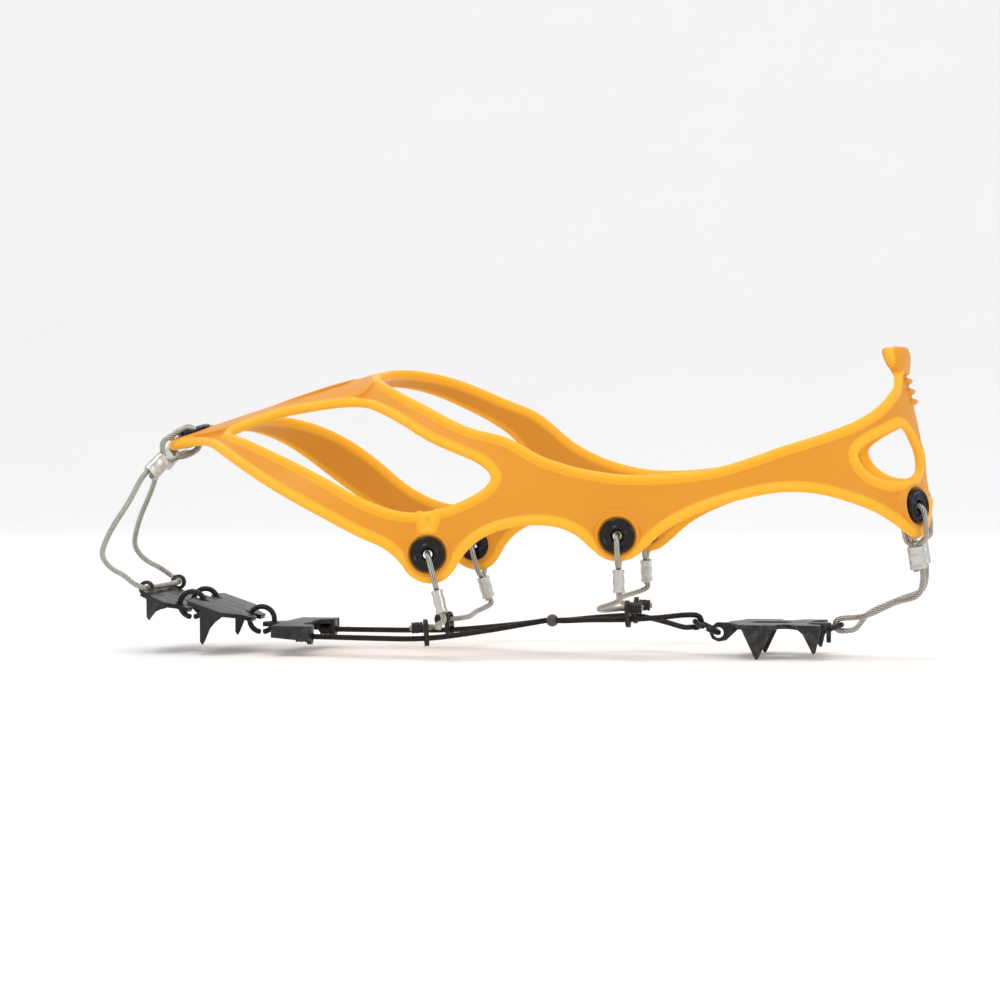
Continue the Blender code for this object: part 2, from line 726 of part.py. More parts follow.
def drill(x, y, z, radius, axis):
    """A round cutter through a plate or an ear."""
    return rod(radius, 6 * PLATE, 16, frame_matrix((x, y, z), (0.3, 0.5, 0.8), axis))


def tripod_plate(name, front, top, pitch, half_width, arm, reach, fore_hole, set_back, drops):
    """A pitched plate with a spike bent down at its nose and one, set back, at the end of each arm."""
    stretch = 1 / math.cos(pitch)
    nose = -fore_hole * stretch
    tail = (reach + RING_HOLE_RADIUS + HOLE_MARGIN) * stretch
    side = wide(half_width)
    ring_half = TOE_RING_OUT + RING_HOLE_RADIUS + HOLE_MARGIN
    half = [
        (nose, CENTRE_SPIKE_HALF_WIDTH),
        (nose + 2.4, CENTRE_SPIKE_HALF_WIDTH + 0.6),
        (-RING_HOLE_RADIUS - HOLE_MARGIN, ring_half),
        (-1.8, side + PLATE / 2 - EDGE_STEP),
        (arm, side + PLATE / 2 - EDGE_STEP),
        (tail - 3.2, ring_half + 0.5),
        (tail, ring_half - 2.0),
        (tail, 3.5),
        (tail - 2.0, 2.0),
    ]
    flat = laid(front, top, pitch) @ Matrix.Translation((0, 0, -PLATE / 2 * MM))
    plate = add_part(name, sheet([mirrored_outline(half)], PLATE, flat), "plate_black", smooth=False)
    side_drop, centre_drop = drops
    nose_x = front - fore_hole + PLATE / 2
    nose_top = top + math.tan(pitch) * fore_hole - PLATE / 2
    spikes = [centre_spike(nose_x, nose_top, centre_drop, CENTRE_SPIKE_HALF_WIDTH - EDGE_STEP)]
    for y in (-side, side):
        spike_top = plate_height(top, set_back, pitch)
        base = arm - 0.5 - set_back
        spikes.append(side_spike(front + set_back, spike_top, side_drop, base, y, pitch))
    return plate, spikes


def build_toe_plate():
    plate, added = tripod_plate(
        "plate_toe",
        TOE_X,
        TOE_TOP,
        TOE_PLATE_PITCH,
        TOE_PLATE_HALF_WIDTH,
        TOE_PLATE_ARM,
        TOE_REACH,
        4.4,
        0.0,
        (TOE_SPIKE_DROP, TOE_CENTRE_DROP),
    )
    side = wide(TOE_PLATE_HALF_WIDTH)
    holes = []
    for y in (-side, side):
        ear = circle(EAR_RADIUS, 16, (TOE_X, TOE_EAR[1]))
        added.append(sheet([ear], PLATE * 0.98, upright(y)))
        holes.append(drill(TOE_X, y, TOE_EAR[1], CABLE_HOLE_RADIUS, ACROSS))
    for y in (-TOE_RING_OUT, TOE_RING_OUT):
        holes.append(drill(TOE_HOLE[0], y, TOE_HOLE[1], RING_HOLE_RADIUS, UP))
    for piece in added:
        combine(plate, "UNION", [piece])
    combine(plate, "DIFFERENCE", holes)


def build_fore_plate():
    plate, added = tripod_plate(
        "plate_fore",
        FORE_X,
        FORE_TOP,
        FORE_PLATE_PITCH,
        FORE_PLATE_HALF_WIDTH,
        FORE_PLATE_ARM,
        FORE_REACH,
        RING_HOLE_RADIUS + HOLE_MARGIN,
        FORE_SPIKE_SET_BACK,
        (FORE_SPIKE_DROP, FORE_CENTRE_DROP),
    )
    holes = [drill(FORE_HOLE[0], 0, FORE_HOLE[1], RING_HOLE_RADIUS, UP)]
    for y in (-TOE_RING_OUT, TOE_RING_OUT):
        holes.append(drill(FORE_X, y, FORE_TOP - PLATE / 2, RING_HOLE_RADIUS, UP))
    for piece in added:
        combine(plate, "UNION", [piece])
    combine(plate, "DIFFERENCE", holes)


def build_ball_plate():
    """The spreader plate: rims turned down at its sides, ears turned down at its rear."""
    side = wide(BALL_PLATE_HALF_WIDTH)
    ear_y = wide(BALL_EAR_OUT)
    edge = BALL_X - RING_HOLE_RADIUS - HOLE_MARGIN
    half = [
        (edge, 3.0),
        (BALL_X + 3.5, 5.5),
        (BALL_X + 4.5, side - EDGE_STEP),
        (BALL_EAR_X - EDGE_STEP, side - EDGE_STEP),
        (BALL_EAR_X - EDGE_STEP, ear_y - EAR_RADIUS - 0.5),
        (BALL_EAR_X - 4.5, ear_y - EAR_RADIUS - 3.0),
        (BALL_EAR_X - 5.5, 6.0),
        (BALL_EAR_X - 4.0, 0.0),
    ]
    flat = Matrix.Translation((0, 0, (BALL_PLATE_LIFT - PLATE / 2) * MM))
    plate = add_part("plate_ball", sheet([mirrored_outline(half)], PLATE, flat), "plate_black", False)
    added = []
    holes = [drill(BALL_X, 0, BALL_HOLE_Z, RING_HOLE_RADIUS, UP)]
    for sign in SIDES.values():
        low = BALL_PLATE_LIFT - BALL_FLANGE
        rim = [
            (BALL_X + 4.5 + EDGE_STEP, BALL_PLATE_LIFT - EDGE_STEP),
            (BALL_X + 4.5 + EDGE_STEP, low + 1.2),
            (BALL_EAR_X, low),
            (BALL_EAR_X, BALL_PLATE_LIFT - EDGE_STEP),
        ]
        added.append(sheet([rim], PLATE, upright(sign * (side - PLATE / 2))))
        ear = circle(EAR_RADIUS, 16, (sign * ear_y, BALL_EAR_Z))
        stem = [
            (sign * ear_y - EAR_RADIUS, BALL_EAR_Z),
            (sign * ear_y + EAR_RADIUS, BALL_EAR_Z),
            (sign * ear_y + EAR_RADIUS, BALL_PLATE_LIFT - EDGE_STEP),
            (sign * ear_y - EAR_RADIUS, BALL_PLATE_LIFT - EDGE_STEP),
        ]
        lug = sorted(point for point in ear if point[1] < BALL_EAR_Z - 0.01)
        outline = lug + stem[1:] + stem[:1]
        added.append(sheet([outline], PLATE, crosswise(BALL_EAR_X - PLATE / 2)))
        holes.append(drill(BALL_EAR_X, sign * ear_y, BALL_EAR_Z, CABLE_HOLE_RADIUS, (1, 0, 0)))
    for piece in added:
        combine(plate, "UNION", [piece])
    combine(plate, "DIFFERENCE", holes)


def build_heel_plate():
    side = wide(HEEL_PLATE_HALF_WIDTH)
    front = along(HEEL_PLATE_FRONT)
    rear = along(HEEL_PLATE_REAR)
    tail = rear + HEEL_TAIL_REACH
    arm_end = rear + HEEL_ARM_PAST_REAR
    half = [
        (front, 3.5),
        (front + 4.0, side - 4.0),
        (front + 4.5, side + PLATE / 2 - EDGE_STEP),
        (front + 6.0 + HEEL_FRONT_BASE, side + PLATE / 2 - EDGE_STEP),
        (front + 7.5 + HEEL_FRONT_BASE, side - 4.7),
        (rear - 7.5, side - 5.2),
        (arm_end - HEEL_REAR_BASE - 1.0, side + PLATE / 2 - EDGE_STEP),
        (arm_end, side + PLATE / 2 - EDGE_STEP),
        (arm_end - 0.5, side - 4.0),
        (rear, side - 7.0),
        (rear - 1.5, HEEL_TAIL_HALF_WIDTH + 2.1),
        (rear - 0.5, HEEL_TAIL_HALF_WIDTH),
        (tail, HEEL_TAIL_HALF_WIDTH),
    ]
    middle = (front + rear) / 2
    lightening = [(middle + x, y) for x, y in capsule(4.0, 6.0, 6)]
    flat = Matrix.Translation((0, 0, (HEEL_PLATE_LIFT - PLATE / 2) * MM))
    body = sheet([mirrored_outline(half), lightening], PLATE, flat)
    plate = add_part("plate_heel", body, "plate_black", False)
    top = HEEL_PLATE_LIFT
    half_width = HEEL_TAIL_HALF_WIDTH - EDGE_STEP
    added = [centre_spike(tail - PLATE / 2 + EDGE_STEP, top - EDGE_STEP, HEEL_CENTRE_DROP, half_width)]
    for y in (-side, side):
        added.append(fang(front + 5.5, top, HEEL_FRONT_DROP, HEEL_FRONT_BASE, 0.5, y))
        added.append(fang(arm_end - 0.2 - HEEL_REAR_BASE, top, HEEL_REAR_DROP, HEEL_REAR_BASE, 0.66, y))
    holes = []
    for ear, back in ((HEEL_FRONT_EAR, 1), (HEEL_REAR_EAR, -1)):
        tab = [
            (ear[0], ear[1] - RING_EAR_RADIUS),
            (ear[0] + back * 2.6, ear[1] - RING_EAR_RADIUS * 0.86),
            (ear[0] + back * 7.0, HEEL_UNDERSIDE - 0.5),
            (ear[0] + back * 7.0, top - 0.2),
            (ear[0] - back * 0.6, top - 0.2),
            (ear[0] - back * RING_EAR_RADIUS * 0.9, ear[1] + RING_EAR_RADIUS * 0.55),
            (ear[0] - back * RING_EAR_RADIUS, ear[1]),
            (ear[0] - back * RING_EAR_RADIUS * 0.7, ear[1] - RING_EAR_RADIUS * 0.7),
        ]
        added.append(sheet([tab], PLATE, upright(0)))
        holes.append(drill(ear[0], 0, ear[1], RING_HOLE_RADIUS, ACROSS))
    for piece in added:
        combine(plate, "UNION", [piece])
    combine(plate, "DIFFERENCE", holes)


def build_ring(name, centre, tilt, y=0.0):
    """A wire ring with its butt gap: upright at tilt None, else lying across, its rear end up by the tilt."""
    gap = RING_BUTT_GAP / RING_RADIUS
    count = 18
    path = []
    for k in range(count + 1):
        turn = -math.pi / 2 + gap / 2 + (2 * math.pi - gap) * k / count
        run, rise = RING_RADIUS * math.cos(turn), RING_RADIUS * math.sin(turn)
        if tilt is None:
            path.append((centre[0] + run, y, centre[1] + rise))
        else:
            path.append((centre[0] + run * math.cos(tilt), rise, centre[1] + run * math.sin(tilt)))
    add_part(name, wire(path, RING_WIRE_RADIUS), "plate_black")


# ---- cables and crimps ----


def crimp(name, centre, x_axis, z_axis, strands, length, wall):
    """A crimp: a black stop round one strand, or a ferrule round two side by side along x_axis."""
    spread = (2 * CABLE_RADIUS + STRAND_GAP) * (strands - 1)
    if strands == 1:
        outlines = [circle(CRIMP_RADIUS + wall, 14), circle(CRIMP_RADIUS, 12)]
        material = "plate_black"
    else:
        outlines = [capsule(CRIMP_RADIUS + wall, spread, 6), capsule(CRIMP_RADIUS, spread, 5)]
        material = "crimp_silver"
    add_part(name, sheet(outlines, length, frame_matrix(centre, x_axis, z_axis)), material)


def cable_loop(name, place, side):
    """Crimps a cable to an eyelet: the ferrule is added, and the route comes back from the short end
    through the ferrule, the eyelet and the ferrule again."""
    u, percent, edge, lean, gap, dip = EYELETS[place]
    centre, normal, rearward, upward = shoe_frame(u, percent, side)
    if place == "toe":
        outward = ACROSS * side - normal * normal.dot(ACROSS * side)
        outward.normalize()
        leave = -rearward * math.cos(math.radians(lean)) + outward * math.sin(math.radians(lean))
        shift = outward * (CABLE_RADIUS + STRAND_GAP / 2)
    else:
        leave = -upward * math.cos(math.radians(lean)) + rearward * math.sin(math.radians(lean))
        shift = Vector((0, 0, 0))
    leave.normalize()
    half_spread = CABLE_RADIUS + STRAND_GAP / 2
    depth = LOOP_DEPTH
    start = edge + gap
    end = start + FERRULE_LENGTH
    back = -EYELET_PROUD - CABLE_RADIUS - SEAT_CLEARANCE
    front = HARNESS_WALL + EYELET_PROUD + CABLE_RADIUS + SEAT_CLEARANCE
    middle = (back + front) / 2
    inner, outer = depth - half_spread, depth + half_spread
    stops = [
        (end + 0.8, inner), (end - 1.0, inner), (start + 2.2, inner), (start + 1.2, inner),
        (start + 0.4, inner), (start - 0.4, inner - 0.15), (start - 1.2, inner - 0.9),
        (edge + 0.3, back), (edge - 2.5, back - 0.2), (2.2, back), (0.2, back + 1.3),
        (-0.5, middle),
        (0.2, front - 1.3), (2.2, front), (edge - 2.5, front - 0.4), (edge + 0.4, HARNESS_WALL + 1.2),
        (start - 1.1, outer + 1.2), (start - 0.4, outer + 0.15), (start + 0.4, outer),
        (start + 1.2, outer), (start + 2.2, outer), (end - 1.0, outer), (end + 0.8, outer),
        (end + 2.2, outer),
    ]
    dipped = math.cos(math.radians(dip)), math.sin(math.radians(dip))

    def spot(down, deep):
        """Past the lug's edge, the loop dips toward the shoe."""
        past = down - edge
        if past > 0:
            rise = deep - depth
            down = edge + past * dipped[0] + rise * dipped[1]
            deep = depth + rise * dipped[0] - past * dipped[1]
        return centre + shift + leave * down + normal * deep

    route = [spot(down, deep) for down, deep in stops]
    run = spot(end, depth) - spot(start, depth)
    rise = spot(end, outer) - spot(end, depth)
    crimp(f"ferrule_{name}", spot((start + end) / 2, depth), rise, run, 2, FERRULE_LENGTH, CRIMP_WALL)
    return route


def toe_cable():
    """One cable from the toe eyelet down round the toe, through both ears of the toe plate and back up."""
    sweep = ((0.77, 5.0), (0.5, 11.5), (0.3, 14.2), (0.19, 11.6), (0.12, 7.0))
    halves = []
    for word, side in SIDES.items():
        route = cable_loop(f"toe_{word}", "toe", side)
        leave = route[-1]
        ear_y = side * wide(TOE_PLATE_HALF_WIDTH)
        ear = Vector((TOE_X, ear_y, TOE_EAR[1]))
        outside = ear + Vector((0, side * 4.0, 0))
        for share, forward in sweep:
            route.append(outside.lerp(leave, share) - Vector((forward, 0, 0)))
        route += [
            outside + Vector((-3.0, 0.2 * side, 1.6)),
            ear + Vector((-0.2, 2.2 * side, 0.2)),
            ear,
            ear - Vector((0, 3.0 * side, 0)),
        ]
        halves.append(route)
    whole = halves[0] + halves[1][::-1]
    add_cable("cable_toe", whole)


def add_cable(name, route, material="cable_steel"):
    path = thinned(curve_through(route, 0.6), CABLE_TOLERANCE)
    add_part(name, wire(path, CABLE_RADIUS), material)


def bight(wire, facing, hand):
    """The cable's turn round a ring's wire, from the lateral side to the medial one."""
    places = []
    for turn in BIGHT_TURNS:
        angle = facing + hand * math.radians(turn)
        across = -0.5 * turn / BIGHT_TURNS[0]
        places.append((wire[0] + RING_WRAP * math.cos(angle), across, wire[1] + RING_WRAP * math.sin(angle)))
    return [Vector(place) for place in places]


def long_leg(side):
    """The long cable's way from the ball plate's ear to the waist ring, on one side, and where on it
    the ball and arch links hang, each with the cable's heading there."""
    ear_y = wide(BALL_EAR_OUT)
    ball_link = (along(BALL_LINK[0]), wide(BALL_LINK[1]), BALL_LINK[2])
    arch_link = (along(ARCH_LINK[0]), wide(ARCH_LINK[1]), ARCH_LINK[2])
    bead_x = along(BEAD_PLACE)
    pinch = CABLE_RADIUS + STRAND_GAP / 2
    face = Vector((math.sin(WAIST_RING_PITCH), 0, math.cos(WAIST_RING_PITCH)))
    turn = Vector((WAIST_WIRE[0], 0, WAIST_WIRE[1])) + face * RING_WRAP * -side
    points = [
        (BALL_EAR_X - PLATE - STOP_LENGTH - 0.9, ear_y, BALL_EAR_Z),
        (BALL_EAR_X - PLATE - 0.6, ear_y, BALL_EAR_Z),
        (BALL_EAR_X + 1.2, ear_y, BALL_EAR_Z),
        (along(-41.0), wide(21.8), 6.2),
        ball_link,
        (along(-1.0), wide(12.2), 8.7),
        (bead_x - 5.5, pinch + 1.0, BEAD_LIFT - 0.6),
        (bead_x - 1.8, pinch, BEAD_LIFT),
        (bead_x + 1.8, pinch, BEAD_LIFT),
        (bead_x + 5.5, pinch + 0.8, BEAD_LIFT + 0.1),
        (along(31.0), wide(6.4), 12.0),
        arch_link,
        (along(54.0), wide(7.0), (arch_link[2] + turn.z) / 2),
        (WAIST_WIRE[0] - 3.6, 2.4, turn.z - 0.2 * side),
        (turn.x, 0.7, turn.z),
    ]
    route = [Vector((x, side * y, z)) for x, y, z in points]
    links = {}
    for place, drawn in (("ball", ball_link), ("arch", arch_link)):
        i = points.index(drawn)
        links[place] = (route[i], (route[i + 1] - route[i - 1]).normalized())
    return route, links


def link_matrix(place, tangent):
    """A link hangs on the long cable, its plate square to it, its long axis up."""
    return frame_matrix(place, UP, tangent)


def build_link(name, place, tangent):
    """A two-hole plate: the long cable runs through the lower hole, the side cable through the upper."""
    outer = capsule(EAR_RADIUS, LINK_SPACING, 8)
    holes = [circle(CABLE_HOLE_RADIUS, 14, (x, 0.0)) for x in (-LINK_SPACING / 2, LINK_SPACING / 2)]
    upward = (UP - tangent * UP.dot(tangent)).normalized()
    middle = place + upward * LINK_SPACING / 2
    add_part(name, sheet([outer] + holes, PLATE, link_matrix(middle, tangent)), "plate_black", False)
    return place + upward * LINK_SPACING


def build_long_cable():
    """One cable from ear to ear of the ball plate, its bight round the waist ring."""
    routes = {}
    links = {}
    for word, side in SIDES.items():
        routes[word], links[word] = long_leg(side)
        start = routes[word][0]
        middle = Vector((BALL_EAR_X - PLATE - SEAT_CLEARANCE - STOP_LENGTH / 2, start.y, start.z))
        crimp(f"stop_long_{word}", middle, UP, (1, 0, 0), 1, STOP_LENGTH, STOP_WALL)
    turn = bight(WAIST_WIRE, -WAIST_RING_PITCH, 1)
    add_cable("cable_long", routes["lat"] + turn + routes["med"][::-1], "cable_dark")
    return links


def side_cable(place, word, side, link, way, under):
    """From an eyelet down the side and under the sole to the upper hole of a link, with its stop."""
    route = cable_loop(f"{place}_{word}", place, side)
    heading = way * under
    route += [
        link - heading * 7.0 + Vector((0, side * 19.0, 1.2)),
        link - heading * 5.6 + Vector((0, side * 7.0, 0.0)),
        link - heading * 2.6 + Vector((0, side * 0.9, 0.0)),
        link,
        link + heading * (PLATE / 2 + SEAT_CLEARANCE + STOP_LENGTH + 0.6),
    ]
    add_cable(f"cable_{place}_{word}", route)
    middle = link + heading * (PLATE / 2 + SEAT_CLEARANCE + STOP_LENGTH / 2)
    crimp(f"stop_{place}_{word}", middle, UP, heading, 1, STOP_LENGTH, STOP_WALL)


def heel_cable():
    """One cable from one heel eyelet round under the heel, through the heel ring, to the other eyelet."""
    halves = []
    for word, side in SIDES.items():
        route = cable_loop(f"heel_{word}", "heel", side)
        face = Vector((-math.sin(HEEL_RING_PITCH), 0, math.cos(HEEL_RING_PITCH)))
        turn = Vector((HEEL_WIRE[0], 0, HEEL_WIRE[1])) + face * RING_WRAP * -side
        leave = route[-1]
        route += [
            Vector((leave.x - 1.2, leave.y * 0.95, leave.z - 6.0)),
            Vector((along(132.0), side * 9.0, 18.6)),
            Vector((along(123.0), side * 6.0, 14.4)),
            Vector((HEEL_WIRE[0] + 4.2, side * 2.4, turn.z + 0.5)),
            turn + Vector((0.3, side * 0.7, 0)),
        ]
        halves.append(route)
    turn = bight(HEEL_WIRE, math.pi + HEEL_RING_PITCH, -1)
    add_cable("cable_heel", halves[0] + turn + halves[1][::-1])


def build_bead():
    """The bead that holds the long cable's two legs together under the arch."""
    centre = Vector((along(BEAD_PLACE), 0, BEAD_LIFT)) * MM
    bm = bmesh.new()
    shape = Matrix.Translation(centre) @ Matrix.Diagonal([half * MM for half in BEAD_HALF]).to_4x4()
    bmesh.ops.create_uvsphere(bm, u_segments=16, v_segments=10, radius=1.0, matrix=shape)
    bead = add_part("bead", bm, "bead_grey")
    slot = capsule(CRIMP_RADIUS, 2 * CABLE_RADIUS + STRAND_GAP, 6)
    combine(bead, "DIFFERENCE", [sheet([slot], 12.0, frame_matrix(centre / MM, ACROSS, (1, 0, 0)))])


def build_cables():
    toe_cable()
    links = build_long_cable()
    for word, side in SIDES.items():
        for place, under in (("ball", -1), ("arch", 1)):
            spot, way = links[word][place]
            upper = build_link(f"link_{place}_{word}", spot, way)
            side_cable(place, word, side, upper, way, under)
    heel_cable()


def stand_on_ground():
    """Moves everything so that the lowest point is at Z = 0 and the bounding box is centred on X and Y."""
    bpy.context.view_layer.update()
    graph = bpy.context.evaluated_depsgraph_get()
    corners = []
    for part in bpy.data.collections[PART_COLLECTION].objects:
        mesh = part.evaluated_get(graph).to_mesh()
        corners += [part.matrix_world @ vert.co for vert in mesh.vertices]
    places = np.array(corners)
    low, high = places.min(axis=0), places.max(axis=0)
    shift = Vector(((low[0] + high[0]) / 2, (low[1] + high[1]) / 2, low[2]))
    for thing in bpy.data.objects:
        thing.location -= shift


def main():
    clear_scene()
    build_harness()
    build_toe_plate()
    build_fore_plate()
    build_ball_plate()
    build_heel_plate()
    for word, side in SIDES.items():
        build_ring(f"ring_toe_{word}", TOE_RING_CENTRE, None, side * TOE_RING_OUT)
    build_ring("ring_fore", FORE_RING_CENTRE, None)
    build_ring("ring_waist", WAIST_RING_CENTRE, -WAIST_RING_PITCH)
    build_ring("ring_heel", HEEL_RING_CENTRE, HEEL_RING_PITCH)
    build_cables()
    build_bead()
    stand_on_ground()


main()
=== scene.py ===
"""The looks of the pull-on ice cleats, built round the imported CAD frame.

Drawing sizes are in millimetres; `placed` takes them to the frame. The harness is drawn on the same
shoe surface as its CAD solid: place along the shoe, and percent of the girth from feather to crown.
"""

import functools
import json
import math

import bmesh
import bpy
import numpy as np
from mathutils import Matrix, Vector
from mathutils.kdtree import KDTree


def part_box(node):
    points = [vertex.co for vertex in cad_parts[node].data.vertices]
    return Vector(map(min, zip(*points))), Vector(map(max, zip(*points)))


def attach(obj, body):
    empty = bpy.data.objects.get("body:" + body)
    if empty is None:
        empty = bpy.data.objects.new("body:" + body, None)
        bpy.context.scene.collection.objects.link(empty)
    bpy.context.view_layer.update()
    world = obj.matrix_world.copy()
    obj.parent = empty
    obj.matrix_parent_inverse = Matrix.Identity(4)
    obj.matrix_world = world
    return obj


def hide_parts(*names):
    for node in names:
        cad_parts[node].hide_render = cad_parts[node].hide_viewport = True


MM = 0.001

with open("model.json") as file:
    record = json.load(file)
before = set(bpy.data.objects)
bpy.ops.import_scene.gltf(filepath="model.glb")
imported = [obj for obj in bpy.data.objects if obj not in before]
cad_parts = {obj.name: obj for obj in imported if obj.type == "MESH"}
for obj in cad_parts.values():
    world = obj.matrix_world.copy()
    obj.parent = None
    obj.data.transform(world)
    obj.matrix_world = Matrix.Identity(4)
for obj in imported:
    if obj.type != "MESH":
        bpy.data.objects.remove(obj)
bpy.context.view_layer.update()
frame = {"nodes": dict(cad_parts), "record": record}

# The drawing's place for the middle of the waist ring ties the drawing to the frame.
WAIST_RING_DRAWN = Vector((69.503, 0.0, 9.617))
ring_low, ring_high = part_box("ring_waist")
DRAWN_TO_FRAME = (ring_low + ring_high) / 2 - WAIST_RING_DRAWN * MM
DRAWN_TO_FRAME.y = 0.0

# ---- the shoe that the harness is stretched over ----

HEEL_START = 105.0
HEEL_REACH = 38.0
HEEL_TURN = 37.5
HEEL_END = HEEL_START + HEEL_TURN * math.pi / 2
CROWN_LEAN = math.radians(10.0)
LEAN_LOW = 45.0
LEAN_HIGH = 80.0
LEAN_REAR = 60.0
LEAN_FRONT = -20.0
# Along the shoe: place, half width, feather height, crown height, roundness exponent
STATIONS = np.array(
    (
        (-150.0, 18.0, 24.0, 40.0, 2.6),
        (-135.0, 30.0, 19.0, 54.0, 2.6),
        (-118.0, 40.0, 15.0, 65.0, 2.6),
        (-100.0, 46.0, 12.0, 71.5, 2.5),
        (-80.0, 50.0, 9.0, 78.0, 2.4),
        (-60.0, 51.5, 8.0, 84.5, 2.3),
        (-38.0, 50.0, 8.0, 91.0, 2.2),
        (-15.0, 46.5, 9.0, 100.0, 2.1),
        (10.0, 42.5, 11.0, 110.0, 2.0),
        (40.0, 39.0, 13.0, 120.0, 2.0),
        (70.0, 38.0, 12.0, 128.0, 2.0),
        (105.0, 37.0, 11.0, 130.0, 2.0),
    )
)
STATION_SLOPES = np.gradient(STATIONS[:, 1:], STATIONS[:, 0], axis=0)
SECTION_STEPS = 48

# ---- the harness: place along the shoe, and percent of the girth ----

HARNESS_WALL = 4.0
WEB_LOW = 0.3
WEB_HIGH = 2.35
RIB_RADIUS = 1.5
PAD_HIGH = 3.7
HOLLOW_HIGH = 1.5
HARNESS_EDGE = (
    (-112.5, 106.0), (-112.8, 98.0), (-110.5, 92.5), (-105.0, 89.0), (-98.0, 83.0), (-87.5, 69.0),
    (-77.5, 58.0), (-67.5, 48.5), (-58.5, 41.5), (-50.0, 36.0), (-38.5, 29.8), (-31.5, 26.4),
    (-27.0, 23.0), (-23.0, 18.6), (-19.5, 15.8), (-15.5, 14.8), (-11.5, 15.4), (-8.5, 17.6),
    (-5.0, 22.2), (0.0, 25.8), (7.0, 27.7), (17.0, 27.9), (25.0, 26.4), (31.0, 23.6),
    (35.5, 20.0), (39.5, 17.2), (44.5, 16.1), (49.5, 17.0), (54.0, 19.8), (59.0, 23.3),
    (65.0, 26.2), (75.0, 29.4), (87.0, 32.1), (98.0, 33.6), (108.0, 33.3), (118.0, 31.4),
    (128.0, 28.6), (136.0, 25.4), (141.5, 22.9), (146.5, 22.0), (151.0, 23.2), (155.0, 26.4),
    (159.5, 29.0), (164.0, 29.9), (171.0, 30.1), (173.0, 50.0), (171.0, 69.4), (155.0, 69.4), (148.5, 69.2),
    (147.2, 67.4), (149.0, 65.2), (149.6, 63.4), (146.5, 60.6), (139.5, 57.6), (131.5, 54.3),
    (121.0, 50.9), (110.0, 48.1), (97.0, 45.0), (86.5, 42.0), (75.5, 39.5), (64.0, 38.5),
    (54.0, 38.5), (44.5, 39.4), (34.0, 42.0), (26.0, 45.2), (19.0, 49.1), (13.0, 53.8),
    (7.5, 57.8), (-4.5, 63.9), (-15.5, 71.2), (-29.5, 82.4), (-36.5, 91.0), (-39.8, 99.0),
    (-40.2, 106.0), (-76.0, 110.0),
)
FRONT_WINDOW = (
    (-88.0, 84.6), (-87.0, 87.0), (-81.0, 90.2), (-73.0, 90.2), (-61.5, 86.4), (-48.0, 82.8),
    (-41.5, 80.0), (-36.0, 76.0), (-27.5, 69.3), (-19.5, 63.2), (-8.0, 55.8), (-3.0, 52.4),
    (1.0, 48.5), (2.8, 44.9), (1.2, 41.6), (-3.5, 38.8), (-11.0, 36.5), (-20.0, 35.8),
    (-28.0, 37.4), (-39.0, 42.8), (-50.0, 51.2), (-61.0, 59.8), (-72.5, 69.0), (-81.0, 76.6),
    (-86.5, 82.2),
)
REAR_WINDOW = (
    (122.8, 43.0), (128.5, 46.1), (136.5, 48.3), (143.5, 49.5), (147.0, 48.5), (151.0, 45.2),
    (153.8, 42.2), (152.4, 39.5), (147.5, 37.7), (142.0, 36.6), (135.5, 36.4), (129.0, 37.5),
    (124.5, 39.9),
)
# Half of the raised pad along the spine, and half of the lens-shaped hollow in it
SPINE_PAD = (
    (-109.0, 104.0), (-109.0, 95.0), (-100.0, 91.0), (-92.0, 88.0), (-83.0, 92.0), (-73.0, 92.2),
    (-61.5, 88.6), (-48.0, 85.0), (-42.0, 86.0), (-43.0, 104.0),
)
SPINE_HOLLOW = ((-76.0, 101.5), (-73.0, 98.2), (-66.0, 96.2), (-57.0, 95.6), (-50.0, 97.0), (-47.0, 101.5))
EYELETS = {  # place, percent of the girth, how far the boss reaches
    "toe": (-103.5, 100.0, 8.0),
    "ball": (-16.6, 23.2, 9.0),
    "arch": (44.3, 22.8, 8.0),
    "heel": (144.5, 30.0, 9.0),
}
EYELET_REACH = 3.5
EYELET_HOLE = 4.1
EYELET_TURNS = 64
EYELET_PROFILE = (  # radius and height over the middle of the rubber; rolled at the bore
    (1.5, -1.4), (1.8, -2.5), (2.6, -2.85), (4.2, -2.75), (5.2, -2.7), (5.6, -2.3), (5.7, -1.8),
    (3.4, -1.4), (3.4, 1.4), (5.66, 1.45), (5.7, 2.0), (5.6, 2.42), (5.3, 2.72), (4.95, 2.84),
    (4.6, 2.8), (4.3, 2.6), (4.05, 2.42), (3.7, 2.34), (3.35, 2.4), (3.1, 2.6), (2.9, 2.76),
    (2.6, 2.78), (2.25, 2.62), (1.85, 2.1), (1.5, 1.3),
)
TOE_BORE = 2.15
PATTERN_STEP = 2.4
TUBE_STEP = 1.2
SEAM_LAP = 0.4

# The strut over the ball eyelet is two ribs that part toward the window: place, percent, spread
STRUT_FOOT = (-16.9, 29.0)
STRUT_RISE = 1.15
STRUT_POINTS = 7
STRUT_HALF_GAP = 1.1
STRUT_FLARE = 0.07
STRUT_RADIUS = 1.455
STRUT_DEPTH = 2.2
RIM_DEPTH = 3.3
RIM_RADIUS = 0.9

# The pull tab's head: height over the foot, depth; then its size toward each end
TAB_HEAD = (
    (-3.6, 0.5), (-1.4, 0.0), (0.8, -0.9), (3.2, -1.2), (5.8, -1.2), (6.5, -0.6),
    (6.55, 0.6), (5.4, 4.4), (5.0, 5.4), (4.2, 5.9), (2.0, 5.8), (-0.4, 5.1),
    (-2.2, 4.2), (-3.6, 3.8),
)
TAB_HEAD_ENDS = (0.62, 0.86, 0.97)
HEAD_FOOT = 65.4
HEAD_START = 148.4
GRIP_RIBS = (61.0, 58.4, 55.8)
GRIP_REACH = 9.0
GRIP_DEPTH = 3.1
GRIP_RADIUS = 1.0

